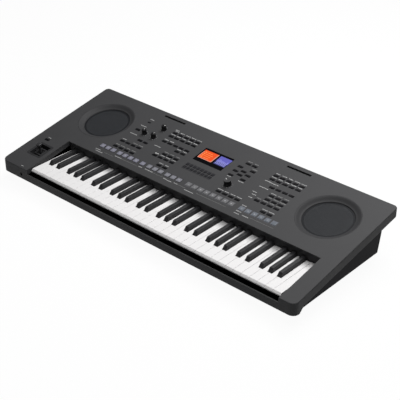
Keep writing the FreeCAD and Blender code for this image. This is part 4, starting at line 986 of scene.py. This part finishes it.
windowTop = max(p.z for p in cornersOf("display_window"))
addTiles("amber", "Amber", (0.9, 0.09, 0.01), displayForm["amber"], "ground")
addTiles("amber_rows", "AmberWarm", (1, 0.3, 0.07), listRows(), "detail")
addTiles("amber_frame", "AmberPale", (0.75, 0.34, 0.24), displayForm["frame"], "detail")
addTiles("indigo", "Indigo", (0.13, 0.125, 0.52), displayForm["indigo"], "ground")
addTiles("indigo_deep", "IndigoDeep", (0.035, 0.04, 0.16), displayForm["deep"], "ground")
addTiles("indigo_bars", "IndigoPale", (0.3, 0.3, 0.75), levelColumns(), "detail")
print("display lit")


# Panel print: unlettered strokes where legends stand, frames round the buttons and pads,
# ticks round the knobs and lines over groups of pads

printForm = {"behind": 9.2 * mm, "stroke": 2 * mm, "gap": 0.9 * mm, "span": 15 * mm,
             "strokeLength": (2, 5), "slack": 2 * mm, "rowReach": 5 * mm, "groupLine": 0.6 * mm,
             "signalWindow": (-269, 343, 11, 5.5)}
# (length, width) of the frames round bar buttons, pads and the buttons under the screen
surroundForm = {"bar": (17.2 * mm, 8.2 * mm), "pad": (17.4 * mm, 17 * mm),
                "soft": (11 * mm, 12.6 * mm), "softShift": (1 * mm, -2.5 * mm),
                "corner": 1.6 * mm, "clear": 0.15 * mm, "openCorner": 1.1 * mm}
# Bold and plain ticks are (length, width)
tickForm = {"count": 11, "sweep": 150, "gap": 1.8 * mm, "bold": (2.4 * mm, 0.7 * mm),
            "plain": (1.4 * mm, 0.45 * mm)}
# (left, right, along) of the button rows that carry legends behind them, by tone, in mm
legendRows = {
    "pale": [(-185, -80, 343), (-185, -80, 325), (-185, -135, 301), (-125, -80, 284),
             (-140, -80, 240), (-125, -80, 213), (-285, -260, 240), (165, 275, 343),
             (165, 275, 325), (210, 225, 273), (230, 275, 213), (85, 170, 213)],
    "faint": [(-145, -80, 258), (-250, -200, 240), (-285, -200, 213), (230, 275, 273),
              (210, 275, 255), (190, 275, 240), (75, 122, 343), (110, 122, 324)],
    "white": [(-165, -145, 240)],
}
# (across, along, span) of the legends that stand apart from the buttons, in mm
legendRuns = [
    (-303, 175.5, 17), (-293, 169, 24), (-229, 179, 24), (-148, 180.5, 11), (-117, 181, 29),
    (-57, 178.5, 9), (-42, 177.5, 16), (-19, 179, 13), (31, 173, 33), (189, 182.5, 18),
    (189, 173.5, 16), (215, 175.5, 20), (-269, 280, 24), (-271, 322, 22), (-271, 357, 13),
    (-172, 273, 20), (-174, 357, 15), (118, 275.5, 20), (77, 277.5, 15), (187, 207, 12),
    (174, 315, 14), (195, 314, 28), (183, 288.5, 26), (174, 263.5, 14), (179, 254, 14),
    (178, 241, 14), (-460, 139, 11), (-427, 9, 8),
]
# (left, right, along) of the thin lines that tie a group of pads together, in mm
groupLines = [(-278, -243, 174), (-215, -158, 178.5), (-100, -66, 180), (-10, 14, 178.5),
              (52, 150, 178), (228, 300, 178)]


def addLegend(bm, across, along, span):
    # Strokes of uneven length in one line, centred on a place
    gap, parts = printForm["gap"], []
    while sum(parts) + gap * len(parts) < span - printForm["slack"]:
        parts.append(dice.uniform(*printForm["strokeLength"]) * mm)
    total = sum(parts) + gap * (len(parts) - 1)
    left = across - total / 2
    for part in parts:
        addDash(bm, left + part / 2, along, part, printForm["stroke"])
        left += part + gap


def addTicks(bm, across, along, radius):
    count, sweep = tickForm["count"], tickForm["sweep"]
    for index in range(count):
        angle = math.radians(90 - sweep + 2 * sweep * index / (count - 1))
        length, width = tickForm["bold" if index in (0, count // 2, count - 1) else "plain"]
        known = len(bm.verts)
        addDash(bm, radius + tickForm["gap"] + length / 2, 0, length, width)
        bm.verts.ensure_lookup_table()
        place = shiftTo(across, along) @ Matrix.Rotation(angle, 4, "Z")
        bmesh.ops.transform(bm, matrix=place, verts=bm.verts[known:])


def addSurround(bm, cap, kind, shift=0.0):
    # A thin frame round a button's opening, its outer edge shifted along the panel
    (length, width), clear = surroundForm[kind], surroundForm["clear"]
    inner = roundLoop(cap["length"] / 2 + clear, cap["width"] / 2 + clear,
                      surroundForm["openCorner"], 0)
    outer = roundLoop(length / 2, width / 2, surroundForm["corner"], 0)
    outer = [(x, y + shift, z) for x, y, z in outer]
    rings = []
    for loop, height in ((inner, 0), (outer, 0), (outer, printLift), (inner, printLift)):
        rings.append([bm.verts.new((cap["across"] + x, cap["along"] + y, height))
                      for x, y, z in loop])
    skinRings(bm, rings, closed=True)


def toneOf(cap):
    # Tone of the legend behind a button, if it has one
    for tone, rows in legendRows.items():
        for left, right, row in rows:
            near = abs(cap["along"] - row * mm) < printForm["rowReach"]
            if near and left * mm < cap["across"] < right * mm:
                return tone


def makePrint():
    pale, faint, white, dark, grey, soft = (bmesh.new() for _ in range(6))
    tones = {"pale": pale, "faint": faint, "white": white}
    screenCaps = barCaps["display_buttons"]
    for cap in (cap for name in barNodes for cap in barCaps[name] if name != "display_buttons"):
        addSurround(dark, cap, "bar")
        tone = toneOf(cap)
        if tone:
            addLegend(tones[tone], cap["across"], cap["along"] + printForm["behind"],
                      printForm["span"])
    for name, caps in padCaps.items():
        for cap in caps:
            addSurround(soft if name in ("style_pads", "transport_pads") else grey, cap, "pad")
    middle = sum(cap["along"] for cap in screenCaps) / len(screenCaps)
    for cap in screenCaps:
        shift = surroundForm["softShift"][0 if cap["along"] > middle else 1]
        addSurround(soft, cap, "soft", shift)
    for across, along, radius in knobPlaces.values():
        addTicks(pale, across, along, radius)
    for across, along, span in legendRuns:
        addLegend(pale, across * mm, along * mm, span * mm)
    addDash(dark, *(value * mm for value in printForm["signalWindow"]))
    for left, right, along in groupLines:
        addDash(faint, (left + right) / 2 * mm, along * mm, (right - left) * mm,
                printForm["groupLine"])
    pieces = {"panel_legends": (printSkin, pale), "bright_legends": (whiteSkin, white),
              "button_surrounds": (surroundSkin, dark), "pad_surrounds": (padFrameSkin, grey),
              "soft_surrounds": (softFrameSkin, soft), "group_lines": (faintSkin, faint)}
    for name, (skin, bm) in pieces.items():
        addPiece(name, "case", [skin], bm, place=toPanel)


makePrint()
print("panel print done")


# Stage: white floor that keeps a faint shadow, soft lamps and the photograph's camera

# The floor bounces light as tone does and looks like seen, of which the share glow is its own light
floorForm = {"half": 8, "tone": (0.22, 0.22, 0.22, 1), "seen": (0.95, 0.95, 0.95, 1), "glow": 0.95}
worldLevel = 0.1
lampForm = {
    "topSoftbox": {"place": (0.6, -0.05, 2.66), "target": (0, 0, 0.1), "size": (2, 1.6),
                   "power": 38},
    "rearSoftbox": {"place": (0, 1.06, 1.88), "target": (0.3, 0, 0.1), "size": (1.2, 1),
                    "power": 33},
}
cameraForm = {"azimuth": 42.07, "elevation": 31.16, "roll": -0.21, "distance": 2.72897,
              "lens": 95.78, "sensor": 36, "target": (0, 0, 0.089), "right": 0.03141,
              "up": -0.04179}


def makeFloor():
    bm = bmesh.new()
    bmesh.ops.create_grid(bm, x_segments=1, y_segments=1, size=floorForm["half"])
    mesh = meshFrom("studioFloor", bm)
    floor = addObject("studioFloor", mesh)
    material = bpy.data.materials.new("floorWhite")
    material.use_nodes = True
    tree = material.node_tree
    tree.nodes.clear()
    ray = addNode(tree, "LightPath").outputs
    mirrored = mathNode(tree, "MAXIMUM", ray["Is Glossy Ray"], ray["Is Transmission Ray"])
    seen = mathNode(tree, "MAXIMUM", ray["Is Camera Ray"], mirrored)
    tone = mixNode(tree, seen, floorForm["tone"], floorForm["seen"])
    matt = addNode(tree, "BsdfDiffuse", Color=tone)
    glow = addNode(tree, "Emission", Color=(1, 1, 1, 1))
    share = times(tree, seen, floorForm["glow"])
    mix = addNode(tree, "MixShader", share, matt.outputs[0], glow.outputs[0])
    addNode(tree, "OutputMaterial", Surface=mix.outputs[0])
    mesh.materials.append(material)


def makeWorld():
    world = bpy.data.worlds.new("studioWorld")
    scene.world = world
    world.use_nodes = True
    tree = world.node_tree
    tree.nodes.clear()
    ray = addNode(tree, "LightPath").outputs
    level = mathNode(tree, "MAXIMUM", ray["Is Camera Ray"], worldLevel)
    sky = addNode(tree, "Background", Strength=level, Color=(1, 1, 1, 1))
    addNode(tree, "OutputWorld", Surface=sky.outputs[0])


def addLamp(name, form):
    data = bpy.data.lights.new(name, "AREA")
    data.shape = "RECTANGLE"
    data.size, data.size_y = form["size"]
    data.energy = form["power"]
    lamp = addObject(name, data)
    lamp.location = form["place"]
    lamp.rotation_mode = "QUATERNION"
    aim = Vector(form["target"]) - Vector(form["place"])
    lamp.rotation_quaternion = aim.to_track_quat("-Z", "Y")
    lamp.visible_camera = False


def makeCamera():
    turn, rise, roll = (math.radians(cameraForm[k]) for k in ("azimuth", "elevation", "roll"))
    back = Vector((math.sin(turn) * math.cos(rise), -math.cos(turn) * math.cos(rise),
                   math.sin(rise)))
    side = Vector((math.cos(turn), math.sin(turn), 0))
    over = back.cross(side)
    right = side * math.cos(roll) + over * math.sin(roll)
    up = over * math.cos(roll) - side * math.sin(roll)
    place = Vector(cameraForm["target"]) + back * cameraForm["distance"]
    place += right * cameraForm["right"] + up * cameraForm["up"]
    data = bpy.data.cameras.new("photoCamera")
    data.lens, data.sensor_width = cameraForm["lens"], cameraForm["sensor"]
    camera = addObject("photoCamera", data)
    axes = Matrix((right, up, back)).transposed().to_4x4()
    camera.matrix_world = Matrix.Translation(place) @ axes
    scene.camera = camera


makeFloor()
makeWorld()
for name, form in lampForm.items():
    addLamp(name, form)
makeCamera()
print("stage set")
